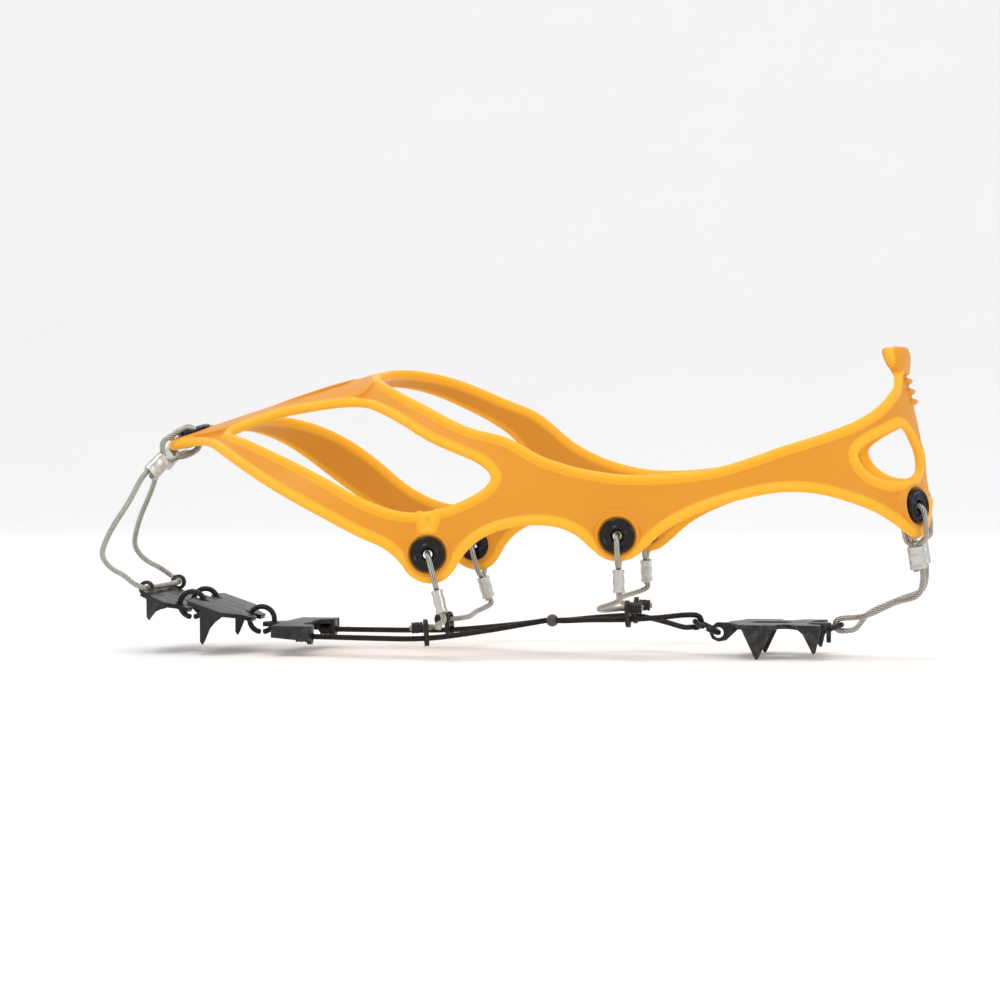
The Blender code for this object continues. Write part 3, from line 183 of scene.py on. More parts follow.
# The mould: voxel size and smoothing steps, full and quick
VOXEL = (0.45, 1.0)
SOFTENING = (4, 1)

CRIMP_WALL = 0.63
RING_WIRE_RADIUS = 0.9
STRAND_COUNT = 6
STRAND_RADIUS = 0.315
STRAND_ORBIT = 0.635
STRAND_LAY = 8.0

# The studio, in metres
PAPER_HALF = 3.0
PAPER_FLAT = 1.2
PAPER_BEND = 0.8
PAPER_STEPS = 24
SURROUND = 0.9
SOFTBOXES = (  # place, size, watts
    ((-0.3, -0.5, 1.2), 0.5, 4.5),
    ((0.8, -0.5, 0.5), 0.4, 1.2),
    ((0.0, 0.8, 0.9), 0.8, 2.0),
)
CAMERA_AZIMUTH = math.radians(8.8)
CAMERA_ELEVATION = math.radians(1.5)
CAMERA_LENS = 129.0
CAMERA_AWAY = 1.2
CAMERA_TARGET = (0.0, 0.0, 51.5)

LATERAL = -1
MEDIAL = 1
SIDES = (LATERAL, MEDIAL)
SETTLED = "worn_harness"


def placed(point):
    """A drawn point, in the frame."""
    return Vector(point) * MM + DRAWN_TO_FRAME


def hermite(start, end, start_slope, end_slope, share, span):
    """The cubic between two points with given slopes."""
    square = share * share
    cube = square * share
    return (
        (2 * cube - 3 * square + 1) * start
        + (cube - 2 * square + share) * span * start_slope
        + (3 * square - 2 * cube) * end
        + (cube - square) * span * end_slope
    )


def ease(value, low, high):
    """0 below low, 1 above high, smooth between."""
    share = np.clip((value - low) / (high - low), 0.0, 1.0)
    return share * share * (3 - 2 * share)


@functools.lru_cache(maxsize=None)
def section(u):
    """Half width and height along half a cross-section of the shoe, with the length run so far."""
    place = min(max(u, STATIONS[0][0]), HEEL_START)
    i = int(np.clip(np.searchsorted(STATIONS[:, 0], place) - 1, 0, len(STATIONS) - 2))
    span = STATIONS[i + 1, 0] - STATIONS[i, 0]
    share = (place - STATIONS[i, 0]) / span
    half, low, high, power = hermite(
        STATIONS[i, 1:], STATIONS[i + 1, 1:], STATION_SLOPES[i], STATION_SLOPES[i + 1], share, span
    )
    turn = np.linspace(0, math.pi / 2, SECTION_STEPS + 1)
    out = half * np.cos(turn) ** (2 / power)
    height = low + (high - low) * np.sin(turn) ** (2 / power)
    run = np.concatenate([[0], np.cumsum(np.hypot(np.diff(out), np.diff(height)))])
    return out, height, run


def shoe_point(u, percent, side):
    """The point of the shoe at this place and girth; past a seam it comes back on the other side."""
    if u > HEEL_END:
        u, side = 2 * HEEL_END - u, -side
    if percent > 100:
        percent, side = 200 - percent, -side
    out, height, run = section(round(u, 3))
    y = float(np.interp(percent / 100 * run[-1], run, out))
    z = float(np.interp(percent / 100 * run[-1], run, height))
    x = u
    if u > HEEL_START:
        turn = (u - HEEL_START) / HEEL_TURN
        x = HEEL_START + HEEL_REACH * math.sin(turn) * y / out[0]
        y *= math.cos(turn)
    lean = ease(z, LEAN_LOW, LEAN_HIGH) * (1 - ease(x, LEAN_FRONT, LEAN_REAR))
    return Vector((x, side * y, z + math.tan(CROWN_LEAN) * side * y * lean))


def shoe_frame(u, percent, side):
    """The point, the outward normal, and the directions of growing place and growing girth."""
    rearward = shoe_point(u + 0.5, percent, side) - shoe_point(u - 0.5, percent, side)
    upward = shoe_point(u, percent + 0.4, side) - shoe_point(u, percent - 0.4, side)
    normal = rearward.cross(upward).normalized() * -side
    rearward.normalize()
    upward = (upward - normal * upward.dot(normal)).normalized()
    return shoe_point(u, percent, side), normal, rearward, upward


def on_shoe(u, percent, side, depth):
    """A point this far out from the shoe's surface."""
    place, normal = shoe_frame(u, percent, side)[:2]
    return place + normal * depth


def scales(u, percent):
    """Millimetres of surface to one step of place and to one percent of girth."""
    along = (shoe_point(u + 0.5, percent, MEDIAL) - shoe_point(u - 0.5, percent, MEDIAL)).length
    up = (shoe_point(u, percent + 0.5, MEDIAL) - shoe_point(u, percent - 0.5, MEDIAL)).length
    return max(along, 0.3), max(up, 0.3)


def curve_through(points, step, closed=False):
    """Points about a step apart on a smooth curve through these ones."""
    path = np.array([tuple(point) for point in points], float)
    if closed:
        path = np.vstack([path[-3:], path, path[:4]])
    chords = np.linalg.norm(np.diff(path, axis=0), axis=1)
    knots = np.concatenate([[0], np.cumsum(np.sqrt(chords))])
    slopes = np.gradient(path, knots, axis=0)
    first = 3 if closed else 0
    last = len(path) - 4 if closed else len(path) - 1
    found = []
    for i in range(first, last):
        count = max(1, math.ceil(chords[i] / step))
        for k in range(count):
            span = knots[i + 1] - knots[i]
            found.append(hermite(path[i], path[i + 1], slopes[i], slopes[i + 1], k / count, span))
    if not closed:
        found.append(path[-1])
    return np.array(found)


def inset(outline, distance):
    """The closed outline moved this many millimetres to the left of its own run."""
    moved = []
    for before, here, after in zip(np.roll(outline, 1, 0), outline, np.roll(outline, -1, 0)):
        along, up = scales(*here)
        run = (after - before) * (along, up)
        left = np.array((-run[1], run[0])) / max(np.hypot(*run), 1e-9)
        moved.append(here + left * distance / (along, up))
    return np.array(moved)


def outlines_of_harness(distance):
    """The harness's edge and its windows, moved this far into the rubber."""
    found = []
    for points in (HARNESS_EDGE, FRONT_WINDOW, REAR_WINDOW):
        outline = curve_through(points, TUBE_STEP, closed=True)
        x, y = outline.T
        area = np.sum(x * np.roll(y, -1) - np.roll(x, -1) * y) / 2
        into = distance if points is HARNESS_EDGE else -distance
        found.append(inset(outline, into * np.sign(area)))
    return found


# ---- meshes ----


def mesh_object(name, verts, faces, material=None, smooth=True):
    mesh = bpy.data.meshes.new(name)
    mesh.from_pydata([tuple(v) for v in verts], [], faces)
    mesh.validate()
    if smooth:
        mesh.shade_smooth()
    made = bpy.data.objects.new(name, mesh)
    bpy.context.scene.collection.objects.link(made)
    if material:
        mesh.materials.append(material)
    return made


def swept(rings):
    """Verts and faces of a closed tube through rings of equal count, capped at both ends."""
    count = len(rings[0])
    verts = [point for ring in rings for point in ring]
    faces = []
    for k in range(len(rings) - 1):
        for j in range(count):
            a, b = k * count + j, k * count + (j + 1) % count
            faces.append((a, b, b + count, a + count))
    faces.append(tuple(reversed(range(count))))
    faces.append(tuple(range((len(rings) - 1) * count, len(rings) * count)))
    return verts, faces


def frames_along(path):
    """Tangent, side and upright directions at each point, turning as little as they can."""
    path = np.asarray(path, float)
    tangents = np.gradient(path, axis=0)
    tangents /= np.linalg.norm(tangents, axis=1)[:, None]
    first = np.cross(tangents[0], (0.3, 0.5, 0.8))
    sideways = [first / np.linalg.norm(first)]
    for tangent in tangents[1:]:
        turned = sideways[-1] - tangent * np.dot(sideways[-1], tangent)
        sideways.append(turned / np.linalg.norm(turned))
    sideways = np.array(sideways)
    return path, sideways, np.cross(tangents, sideways)


def tube(path, radius, sides=12, taper=0):
    """Verts and faces of a round tube; its ends are rounded off over taper points."""
    path, a, b = frames_along(path)
    turns = np.linspace(0, 2 * math.pi, sides, endpoint=False)
    rings = []
    for k in range(len(path)):
        from_end = min(k, len(path) - 1 - k)
        size = radius
        if from_end < taper:
            size *= math.sin(math.pi / 2 * (from_end + 0.35) / (taper + 0.35))
        rings.append([path[k] + size * (math.cos(t) * a[k] + math.sin(t) * b[k]) for t in turns])
    return swept(rings)


def lathe(profile, steps):
    """Verts and faces of a closed profile of radius and height, turned about Z."""
    verts, faces = [], []
    count = len(profile)
    for k in range(steps):
        turn = 2 * math.pi * k / steps
        verts += [Vector((r * math.cos(turn), r * math.sin(turn), h)) for r, h in profile]
    for k in range(steps):
        low, high = k * count, (k + 1) % steps * count
        for j in range(count):
            i = (j + 1) % count
            faces.append((low + j, high + j, high + i, low + i))
    return verts, faces


def merged(name, parts, material=None, drawn=False):
    """One object out of several lists of verts and faces, in the frame's millimetres or drawn ones."""
    verts, faces = [], []
    for part_verts, part_faces in parts:
        start = len(verts)
        verts += [placed(v) if drawn else Vector(v) * MM for v in part_verts]
        faces += [tuple(i + start for i in face) for face in part_faces]
    return mesh_object(name, verts, faces, material)


def flat_cells(outlines, step):
    """Flat outlines, the inner ones as holes, filled and ruled into cells of this many millimetres."""
    curve = bpy.data.curves.new("outline", "CURVE")
    curve.dimensions = "2D"
    curve.fill_mode = "BOTH"
    for outline in outlines:
        spline = curve.splines.new("POLY")
        spline.points.add(len(outline) - 1)
        for point, place in zip(spline.points, outline):
            point.co = (place[0], place[1], 0.0, 1.0)
        spline.use_cyclic_u = True
    holder = bpy.data.objects.new("outline", curve)
    bpy.context.scene.collection.objects.link(holder)
    mesh = bpy.data.meshes.new_from_object(holder)
    bpy.data.objects.remove(holder)
    bm = bmesh.new()
    bm.from_mesh(mesh)
    bpy.data.meshes.remove(mesh)
    bmesh.ops.remove_doubles(bm, verts=bm.verts, dist=1e-3)
    every = np.array([vert.co[:2] for vert in bm.verts])
    low, high = every.min(0), every.max(0)
    for axis, end in ((0, min(high[0], HEEL_END)), (1, min(high[1], 100.0))):
        facing = (1, 0, 0) if axis == 0 else (0, 1, 0)
        for place in np.arange(low[axis] + step / 2, end, step):
            spot = (place, 0, 0) if axis == 0 else (0, place, 0)
            everything = bm.verts[:] + bm.edges[:] + bm.faces[:]
            bmesh.ops.bisect_plane(bm, geom=everything, dist=1e-4, plane_co=spot, plane_no=facing)
        past = (HEEL_END + SEAM_LAP, 0, 0) if axis == 0 else (0, 100 + SEAM_LAP, 0)
        everything = bm.verts[:] + bm.edges[:] + bm.faces[:]
        bmesh.ops.bisect_plane(
            bm, geom=everything, dist=1e-4, plane_co=past, plane_no=facing, clear_outer=True
        )
    bmesh.ops.triangulate(bm, faces=bm.faces)
    bm.verts.index_update()
    verts = [tuple(vert.co[:2]) for vert in bm.verts]
    faces = [tuple(vert.index for vert in face.verts) for face in bm.faces]
    rims = [tuple(v.index for v in edge.verts) for edge in bm.edges if len(edge.link_faces) == 1]
    directed = {(f[i], f[(i + 1) % 3]) for f in faces for i in range(3)}
    rims = [(a, b) if (a, b) in directed else (b, a) for a, b in rims]
    bm.free()
    return verts, faces, rims


def bent_slab(cells, side, low, high):
    """The cells laid over the shoe between two depths, closed all round."""
    flat, faces, rims = cells
    count = len(flat)
    verts = [on_shoe(u, percent, side, low) for u, percent in flat]
    verts += [on_shoe(u, percent, side, high) for u, percent in flat]
    closed = [tuple(reversed(face)) for face in faces]
    closed += [tuple(i + count for i in face) for face in faces]
    closed += [(a, b, b + count, a + count) for a, b in rims]
    if side == LATERAL:
        return verts, closed
    return verts, [tuple(reversed(face)) for face in closed]


def around(u, percent, radius, count=40):
    """A circle of this radius on the shoe, in place and percent."""
    along, up = scales(u, percent)
    turns = np.linspace(0, 2 * math.pi, count, endpoint=False)
    return np.array([(u + radius * math.cos(t) / along, percent + radius * math.sin(t) / up) for t in turns])


# ---- harness ----


def eyelet_spots():
    spots = [("toe", LATERAL)]
    return spots + [(place, side) for place in ("ball", "arch", "heel") for side in SIDES]


def rib_paths(side):
    """The middles of the ribs along every edge, on one side."""
    paths = []
    for outline in outlines_of_harness(RIB_RADIUS):
        shown = [(u <= HEEL_END + 1.2) and (percent <= 101.2) for u, percent in outline]
        if all(shown):
            outline = np.vstack([outline, outline[:3]])
            shown = [True] * len(outline)
        else:
            first = shown.index(False)
            outline = np.roll(outline, -first, axis=0)
            shown = shown[first:] + shown[:first]
        run = []
        for keep, (u, percent) in zip(shown + [False], np.vstack([outline, outline[:1]])):
            if keep:
                run.append(on_shoe(u, percent, side, HARNESS_WALL / 2))
            else:
                if len(run) > 3:
                    paths.append(run)
                run = []
    return paths


def boss(place, side):
    """The thick ring of rubber round an eyelet, with the flange's seat in it."""
    u, percent, reach = EYELETS[place]
    centre, normal, rearward, _ = shoe_frame(u, percent, side)
    profile = [
        (EYELET_REACH, 0.9), (5.9, 0.7), (6.1, 0.1), (reach - 1.2, 0.0), (reach - 0.3, 0.6),
        (reach, 1.5), (reach - 0.2, 2.2), (7.9, 2.3), (7.6, 3.0), (7.4, 3.8), (7.0, 4.3), (6.5, 4.4),
        (6.1, 4.1), (5.9, 3.4), (EYELET_REACH, 3.2),
    ]
    verts, faces = lathe(profile, 48)
    across = normal.cross(rearward)
    turn = Matrix((rearward, across, normal)).transposed()
    return [centre + turn @ v for v in verts], faces


def tab_head():
    """The rolled head of the pull tab, from one end of the T to the other."""
    half = np.arange(HEAD_START, HEEL_END, TUBE_STEP)
    stations = [(u, LATERAL) for u in half] + [(HEEL_END, LATERAL)] + [(u, MEDIAL) for u in half[::-1]]
    shape = np.array(TAB_HEAD)
    middle = shape.mean(axis=0)
    rings = []
    for k, (u, side) in enumerate(stations):
        from_end = min(k, len(stations) - 1 - k)
        size = TAB_HEAD_ENDS[from_end] if from_end < len(TAB_HEAD_ENDS) else 1.0
        ring = []
        for up, depth in middle + (shape - middle) * size:
            percent = HEAD_FOOT + up / scales(u, HEAD_FOOT)[1]
            ring.append(on_shoe(u, percent, side, depth))
        rings.append(ring)
    return swept(rings)


def harness_parts():
    """Every overlapping piece that the harness is moulded from, and the middles of its ribs."""
    parts, middles = [], []
    holes = [around(u, percent, EYELET_HOLE) for u, percent, _ in EYELETS.values()]
    hollow = curve_through(SPINE_HOLLOW, TUBE_STEP, True)
    web = flat_cells(outlines_of_harness(RIB_RADIUS) + holes + [hollow], PATTERN_STEP)
    pad = flat_cells([curve_through(SPINE_PAD, TUBE_STEP, True), hollow, holes[0]], PATTERN_STEP)
    hollow_floor = flat_cells([hollow], PATTERN_STEP)
    for side in SIDES:
        parts.append(bent_slab(web, side, WEB_LOW, WEB_HIGH))
        parts.append(bent_slab(pad, side, WEB_LOW, PAD_HIGH))
        parts.append(bent_slab(hollow_floor, side, WEB_LOW, HOLLOW_HIGH))
        for path in rib_paths(side):
            parts.append(tube(path, RIB_RADIUS))
            middles += path
        for lean in (-1, 1):
            path = []
            for k in range(STRUT_POINTS):
                u = STRUT_FOOT[0] + lean * (STRUT_HALF_GAP + k * k * STRUT_FLARE)
                path.append(on_shoe(u, STRUT_FOOT[1] + k * STRUT_RISE, side, STRUT_DEPTH))
            parts.append(tube(path, STRUT_RADIUS))
            middles += path
        shown = [(u, percent) for u, percent in hollow if percent <= 100 + SEAM_LAP]
        parts.append(tube([on_shoe(u, percent, side, RIM_DEPTH) for u, percent in shown], RIM_RADIUS))
        for percent in GRIP_RIBS:
            places = np.arange(HEEL_END - GRIP_REACH, HEEL_END + 1, 1.0)
            run = [on_shoe(u, percent, side, GRIP_DEPTH) for u in places]
            parts.append(tube(run, GRIP_RADIUS, taper=2))
    for place, side in eyelet_spots():
        parts.append(boss(place, side))
    parts.append(tab_head())
    return parts, middles


def build_harness(material):
    """Moulds the overlapping pieces into one skin with soft fillets."""
    parts, middles = harness_parts()
    rough = merged("harness_rough", parts, drawn=True)
    remesh = rough.modifiers.new("mould", "REMESH")
    remesh.mode = "VOXEL"
    remesh.voxel_size = VOXEL[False] * MM
    soften = rough.modifiers.new("soften", "SMOOTH")
    soften.factor = 0.5
    soften.iterations = SOFTENING[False]
    graph = bpy.context.evaluated_depsgraph_get()
    mesh = bpy.data.meshes.new_from_object(rough.evaluated_get(graph))
    bpy.data.objects.remove(rough)
    mesh.name = "harness_skin"
    mesh.shade_smooth()
    mesh.materials.clear()
    mesh.materials.append(material)
    skin = bpy.data.objects.new("harness_skin", mesh)
    bpy.context.scene.collection.objects.link(skin)
    mark_ribs(mesh, middles)
    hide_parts("harness")
    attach(skin, SETTLED)


def mark_ribs(mesh, middles):
    """Writes how far each point is on the ribs, 0 to 1, for the elastomer's painted highlight on the ribs."""
    tree = KDTree(len(middles))
    for i, point in enumerate(middles):
        tree.insert(placed(point), i)
    tree.balance()
    away = np.array([tree.find(vert.co)[2] for vert in mesh.vertices]) / MM
    share = 1 - ease(away, RIB_RADIUS + 0.1, RIB_RADIUS + 0.9)
    mesh.attributes.new("rib_highlight", "FLOAT", "POINT").data.foreach_set("value", share.astype(np.float32))


# ---- wires, taken from the CAD solids' own routes ----


def cap_ring(bm):
    """The corners of a wire's flat end."""
    def spread(start):
        seen = {start}
        layer = [start]
        while layer:
            last = layer
            layer = []
            for vert in last:
                for edge in vert.link_edges:
                    other = edge.other_vert(vert)
                    if other not in seen:
                        seen.add(other)
                        layer.append(other)
        return last[0]

    bm.verts.ensure_lookup_table()
    end = spread(spread(bm.verts[0]))
    for face in end.link_faces:
        group, grow = {face}, [face]
        while grow:
            here = grow.pop()
            for edge in here.edges:
                for other in edge.link_faces:
                    if other not in group and other.normal.angle(face.normal, 1.0) < 0.01:
                        group.add(other)
                        grow.append(other)
        ring = {vert for found in group for vert in found.verts}
        middle = sum((vert.co for vert in ring), Vector()) / len(ring)
        far = [(vert.co - middle).length for vert in ring]
        if len(ring) >= 6 and max(far) - min(far) < 0.1 * max(far):
            return ring
    raise ValueError("no flat end found")


def centreline(node):
    """The middle of a CAD wire, from one end to the other, in the frame."""
    bm = bmesh.new()
    bm.from_mesh(frame["nodes"][node].data)
    bmesh.ops.remove_doubles(bm, verts=bm.verts, dist=1e-6)
    layer = cap_ring(bm)
    seen = set(layer)
    middles = []
    while layer:
        middles.append(sum((vert.co for vert in layer), Vector()) / len(layer))
        nearby = {edge.other_vert(vert) for vert in layer for edge in vert.link_edges}
        layer = nearby - seen
        seen |= layer
    bm.free()
    return np.array(middles) / MM


def strands(path):
    """Six wires laid round a core wire."""
    path, a, b = frames_along(path)
    run = np.concatenate([[0], np.cumsum(np.linalg.norm(np.diff(path, axis=0), axis=1))])
    parts = [tube(path, STRAND_RADIUS, 5)]
    for k in range(STRAND_COUNT):
        turn = 2 * math.pi * (run / STRAND_LAY + k / STRAND_COUNT)
        orbit = STRAND_ORBIT * (np.cos(turn)[:, None] * a + np.sin(turn)[:, None] * b)
        parts.append(tube(path + orbit, STRAND_RADIUS, 7))
    return parts


def mark_crowns(mesh, path):
    """Writes how far each point stands out of the valleys between the strands, 0 to 1; the steel paints shade
    into the valleys with it.
    """
    tree = KDTree(len(path))
    for i, point in enumerate(path):
        tree.insert(point * MM, i)
    tree.balance()
    away = []
    for vert in mesh.vertices:
        near = tree.find(vert.co)[1]
        here = path[near]
        run = path[min(near + 1, len(path) - 1)] - path[max(near - 1, 0)]
        offset = np.array(vert.co) / MM - here
        offset -= run * offset.dot(run) / run.dot(run)
        away.append(np.linalg.norm(offset))
    share = ease(np.array(away), STRAND_ORBIT - 0.05, STRAND_ORBIT + STRAND_RADIUS * 0.9)
    mesh.attributes.new("crown", "FLOAT", "POINT").data.foreach_set("value", share.astype(np.float32))


def stand_for(piece, node, body):
    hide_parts(node)
    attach(piece, body)


def build_wires(steel, dark, black):
    bodies = {node: body for body, nodes in frame["record"]["behaviour"]["bodies"].items() for node in nodes}
    for node in frame["nodes"]:
        if node.startswith("cable_"):
            path = curve_through(centreline(node), 0.6)
            material, slot = (dark, "cable_dark") if node == "cable_long" else (steel, "cable_steel")
            piece = merged(node + "_wire", strands(path), material)
            mark_crowns(piece.data, path)
            stand_for(piece, node, bodies[node])
        elif node.startswith("ring_"):
            path = curve_through(centreline(node), 0.35)
            piece = merged(node + "_wire", [tube(path, RING_WIRE_RADIUS, 20, 1)], black)
            stand_for(piece, node, bodies[node])


# ---- eyelets and crimps, placed by their CAD solids ----


def own_axes(node):
    """Middle of a CAD solid and its own axes, from the longest to the shortest."""
    points = np.unique(np.array([vert.co for vert in frame["nodes"][node].data.vertices]).round(7), axis=0)
    middle = points.mean(0)
    _, axes = np.linalg.eigh(np.cov((points - middle).T))
    return middle / MM, axes.T[::-1]


def build_eyelet(node, material):
    middle, axes = own_axes(node)
    normal = Vector(axes[2])
    outward = Vector((0, 0, 1)) if "toe" in node else Vector((0, middle[1], 0))
    if normal.dot(outward) < 0:
        normal.negate()
    x_axis = Vector(axes[0])
    turn = Matrix((x_axis, normal.cross(x_axis), normal)).transposed()
    bore = TOE_BORE if "toe" in node else 0.0
    profile = [(max(radius, bore), height) for radius, height in EYELET_PROFILE]
    verts, faces = lathe(profile, EYELET_TURNS)
    piece = merged(node + "_turned", [([Vector(middle) + turn @ v for v in verts], faces)], material)
    stand_for(piece, node, SETTLED)


def crimped(length, spread, radius, bore):
    """A sleeve round one or two strands, its ends opened a little and its middle pressed flat."""
    stations = (  # share of the half length, growth across, growth through
        (1.0, -0.16, -0.16), (0.97, 0.0, 0.0), (0.86, 0.02, 0.02), (0.74, 0.0, -0.03),
        (0.66, 0.05, -0.16), (0.5, 0.07, -0.2), (0.34, 0.05, -0.16), (0.26, 0.0, -0.04),
        (0.12, 0.0, -0.02),
    )
    stations = [(-s, a, t) for s, a, t in stations] + [(0.0, 0.0, -0.02)] + list(stations[::-1])
    turns = np.linspace(0, 2 * math.pi, 36, endpoint=False)

    def ring(height, across, through, size):
        points = []
        for turn in turns:
            x = (size + across) * math.cos(turn) + math.copysign(spread / 2, math.cos(turn))
            y = (size + through) * math.sin(turn)
            points.append(Vector((x, y, height)))
        return points

    rings = [ring(s * length / 2, a, t, radius) for s, a, t in stations]
    near_end = [ring(-length / 2 + 1.2, 0, 0, bore), ring(-length / 2, 0, 0, bore)]
    far_end = [ring(length / 2, 0, 0, bore), ring(length / 2 - 1.2, 0, 0, bore)]
    return swept(near_end + rings + far_end)


def build_crimp(node, material):
    middle, axes = own_axes(node)
    points = np.array([vert.co for vert in frame["nodes"][node].data.vertices]) / MM - middle
    length, across, through = (np.ptp(points @ axis) for axis in axes)
    z_axis, x_axis = Vector(axes[0]), Vector(axes[1])
    turn = Matrix((x_axis, z_axis.cross(x_axis), z_axis)).transposed()
    spread = max(across - through, 0.0)
    if spread < 0.3:
        spread = 0.0
    verts, faces = crimped(length, spread, through / 2, through / 2 - CRIMP_WALL)
    piece = merged(node + "_pressed", [([Vector(middle) + turn @ v for v in verts], faces)], material)
    stand_for(piece, node, SETTLED)


# ---- materials ----


class Finish:
    """A node-based material built up from one Principled shader."""

    def __init__(self, name, **sockets):
        self.material = bpy.data.materials.new(name)
        self.material.use_nodes = True
        self.tree = self.material.node_tree
        self.shader = self.tree.nodes["Principled BSDF"]
        for socket, value in sockets.items():
            self.shader.inputs[socket.replace("_", " ")].default_value = value
        self.coordinates = self.tree.nodes.new("ShaderNodeTexCoord").outputs["Object"]

    def node(self, kind, **sockets):
        made = self.tree.nodes.new(kind)
        for socket, value in sockets.items():
            target = made.inputs[socket.replace("_", " ")]
            if isinstance(value, bpy.types.NodeSocket):
                self.tree.links.new(value, target)
            else:
                target.default_value = value
        return made

    def noise(self, size, detail=3.0, rough=0.55, stretch=(1, 1, 1)):
        """Noise whose grains are about this many millimetres."""
        space = self.node("ShaderNodeMapping", Vector=self.coordinates, Scale=stretch)
        scale = 1 / (size * MM)
        made = self.node(
            "ShaderNodeTexNoise", Vector=space.outputs[0], Scale=scale, Detail=detail, Roughness=rough
        )
        return made.outputs["Fac"]

    def ranged(self, value, low, high, out_low, out_high):
        made = self.node("ShaderNodeMapRange", Value=value)
        ends = {"From Min": low, "From Max": high, "To Min": out_low, "To Max": out_high}
        for socket, number in ends.items():
            made.inputs[socket].default_value = number
        return made.outputs["Result"]

    def colours(self, share, first, second):
        made = self.tree.nodes.new("ShaderNodeMix")
        made.data_type = "RGBA"
        sockets = [socket for socket in made.inputs if socket.type == "RGBA"]
        self.tree.links.new(share, made.inputs["Factor"])
        for socket, value in zip(sockets, (first, second)):
            if isinstance(value, bpy.types.NodeSocket):
                self.tree.links.new(value, socket)
            else:
                socket.default_value = (*value, 1.0)
        return next(socket for socket in made.outputs if socket.type == "RGBA")

    def bump(self, height, strength, distance):
        made = self.node("ShaderNodeBump", Height=height, Strength=strength, Distance=distance * MM)
        last = self.shader.inputs["Normal"]
        if last.is_linked:
            self.tree.links.new(last.links[0].from_socket, made.inputs["Normal"])
        self.tree.links.new(made.outputs["Normal"], last)

    def drive(self, socket, value):
        self.tree.links.new(value, self.shader.inputs[socket])


def elastomer():
    made = Finish(
        "elastomer_orange",
        Subsurface_Weight=0.05,
        Subsurface_Radius=(1.0, 0.35, 0.08),
        Subsurface_Scale=0.002,
        IOR=1.46,
        Specular_IOR_Level=0.34,
    )
    rib_highlight = made.tree.nodes.new("ShaderNodeAttribute")
    rib_highlight.attribute_name = "rib_highlight"
    share = rib_highlight.outputs["Fac"]
    cloud = made.noise(38.0, 2.0)
    # Painted highlight: the ribs take lighter, yellower oranges and the web between them darker ones,
    # standing in for light on the ribs and shade on the web.
    web = made.colours(cloud, (0.68, 0.270, 0.016), (0.74, 0.300, 0.020))
    ribs = made.colours(cloud, (0.93, 0.42, 0.018), (0.98, 0.46, 0.022))
    base = made.colours(share, web, ribs)
    scuffs = made.ranged(made.noise(5.5, 6.0, 0.7), 0.58, 0.80, 0.0, 0.10)
    made.drive("Base Color", made.colours(scuffs, base, (0.94, 0.48, 0.08)))
    grain = made.noise(0.55, 2.0, 0.5)
    made.drive("Roughness", made.ranged(made.noise(7.0, 4.0), 0.3, 0.7, 0.40, 0.54))
    made.bump(grain, 0.16, 0.06)
    made.bump(made.noise(14.0, 2.0), 0.10, 0.5)
    return made.material


def black_gloss():
    made = Finish("eyelet_gloss", Coat_Weight=0.15, Coat_Roughness=0.08, Specular_IOR_Level=0.18)
    made.drive("Base Color", made.colours(made.noise(1.6, 4.0), (0.003, 0.003, 0.004), (0.009, 0.009, 0.010)))
    made.drive("Roughness", made.ranged(made.noise(2.0, 5.0), 0.35, 0.7, 0.14, 0.32))
    made.bump(made.noise(0.7, 3.0), 0.06, 0.05)
    return made.material


def bare_steel():
    made = Finish("cable_strand", Metallic=0.9)
    crown = made.tree.nodes.new("ShaderNodeAttribute")
    crown.attribute_name = "crown"
    steel = made.colours(made.noise(2.4, 4.0), (0.34, 0.33, 0.29), (0.62, 0.60, 0.54))
    # Painted shade: near black in the valleys between the strands, bright steel on their crowns.
    made.drive("Base Color", made.colours(crown.outputs["Fac"], (0.02, 0.018, 0.015), steel))
    made.drive("Roughness", made.ranged(made.noise(1.2, 4.0), 0.3, 0.7, 0.24, 0.42))
    made.bump(made.noise(0.35, 3.0, 0.6, (1, 1, 3)), 0.2, 0.04)
    return made.material


def dark_steel():
    made = Finish("cable_dark_strand", Metallic=0.85)
    made.drive("Base Color", made.colours(made.noise(1.8, 4.0), (0.012, 0.012, 0.012), (0.05, 0.048, 0.044)))
    made.drive("Roughness", made.ranged(made.noise(1.2, 4.0), 0.3, 0.7, 0.28, 0.45))
    made.bump(made.noise(0.4, 3.0), 0.2, 0.04)
    return made.material


def pressed_aluminium():
    made = Finish("crimp_pressed", Metallic=0.95)
    made.drive("Base Color", made.colours(made.noise(2.2, 4.0), (0.46, 0.455, 0.42), (0.66, 0.65, 0.61)))
    drawn = made.noise(0.5, 4.0, 0.6, (6, 1, 1))
    made.drive("Roughness", made.ranged(drawn, 0.3, 0.7, 0.22, 0.40))
    made.bump(drawn, 0.15, 0.04)
    return made.material


def plate_finish():
    """Satin black on hardened steel, rubbed brighter along its edges and points."""
    made = Finish("plate_satin", Metallic=0.2, Specular_IOR_Level=0.4)
    edge = made.tree.nodes.new("ShaderNodeNewGeometry").outputs["Pointiness"]
    worn = made.ranged(edge, 0.53, 0.62, 0.0, 0.6)
    patchy = made.node("ShaderNodeMath", Value=worn)
    patchy.operation = "MULTIPLY"
    made.tree.links.new(made.ranged(made.noise(2.2, 6.0, 0.7), 0.42, 0.62, 0.0, 0.7), patchy.inputs[1])
    coat = made.colours(made.noise(3.0, 4.0), (0.007, 0.007, 0.008), (0.013, 0.013, 0.014))
    made.drive("Base Color", made.colours(patchy.outputs[0], coat, (0.10, 0.097, 0.09)))
    made.drive("Roughness", made.ranged(made.noise(1.4, 5.0), 0.3, 0.7, 0.34, 0.46))
    made.bump(made.noise(0.5, 4.0), 0.18, 0.05)
    return made.material


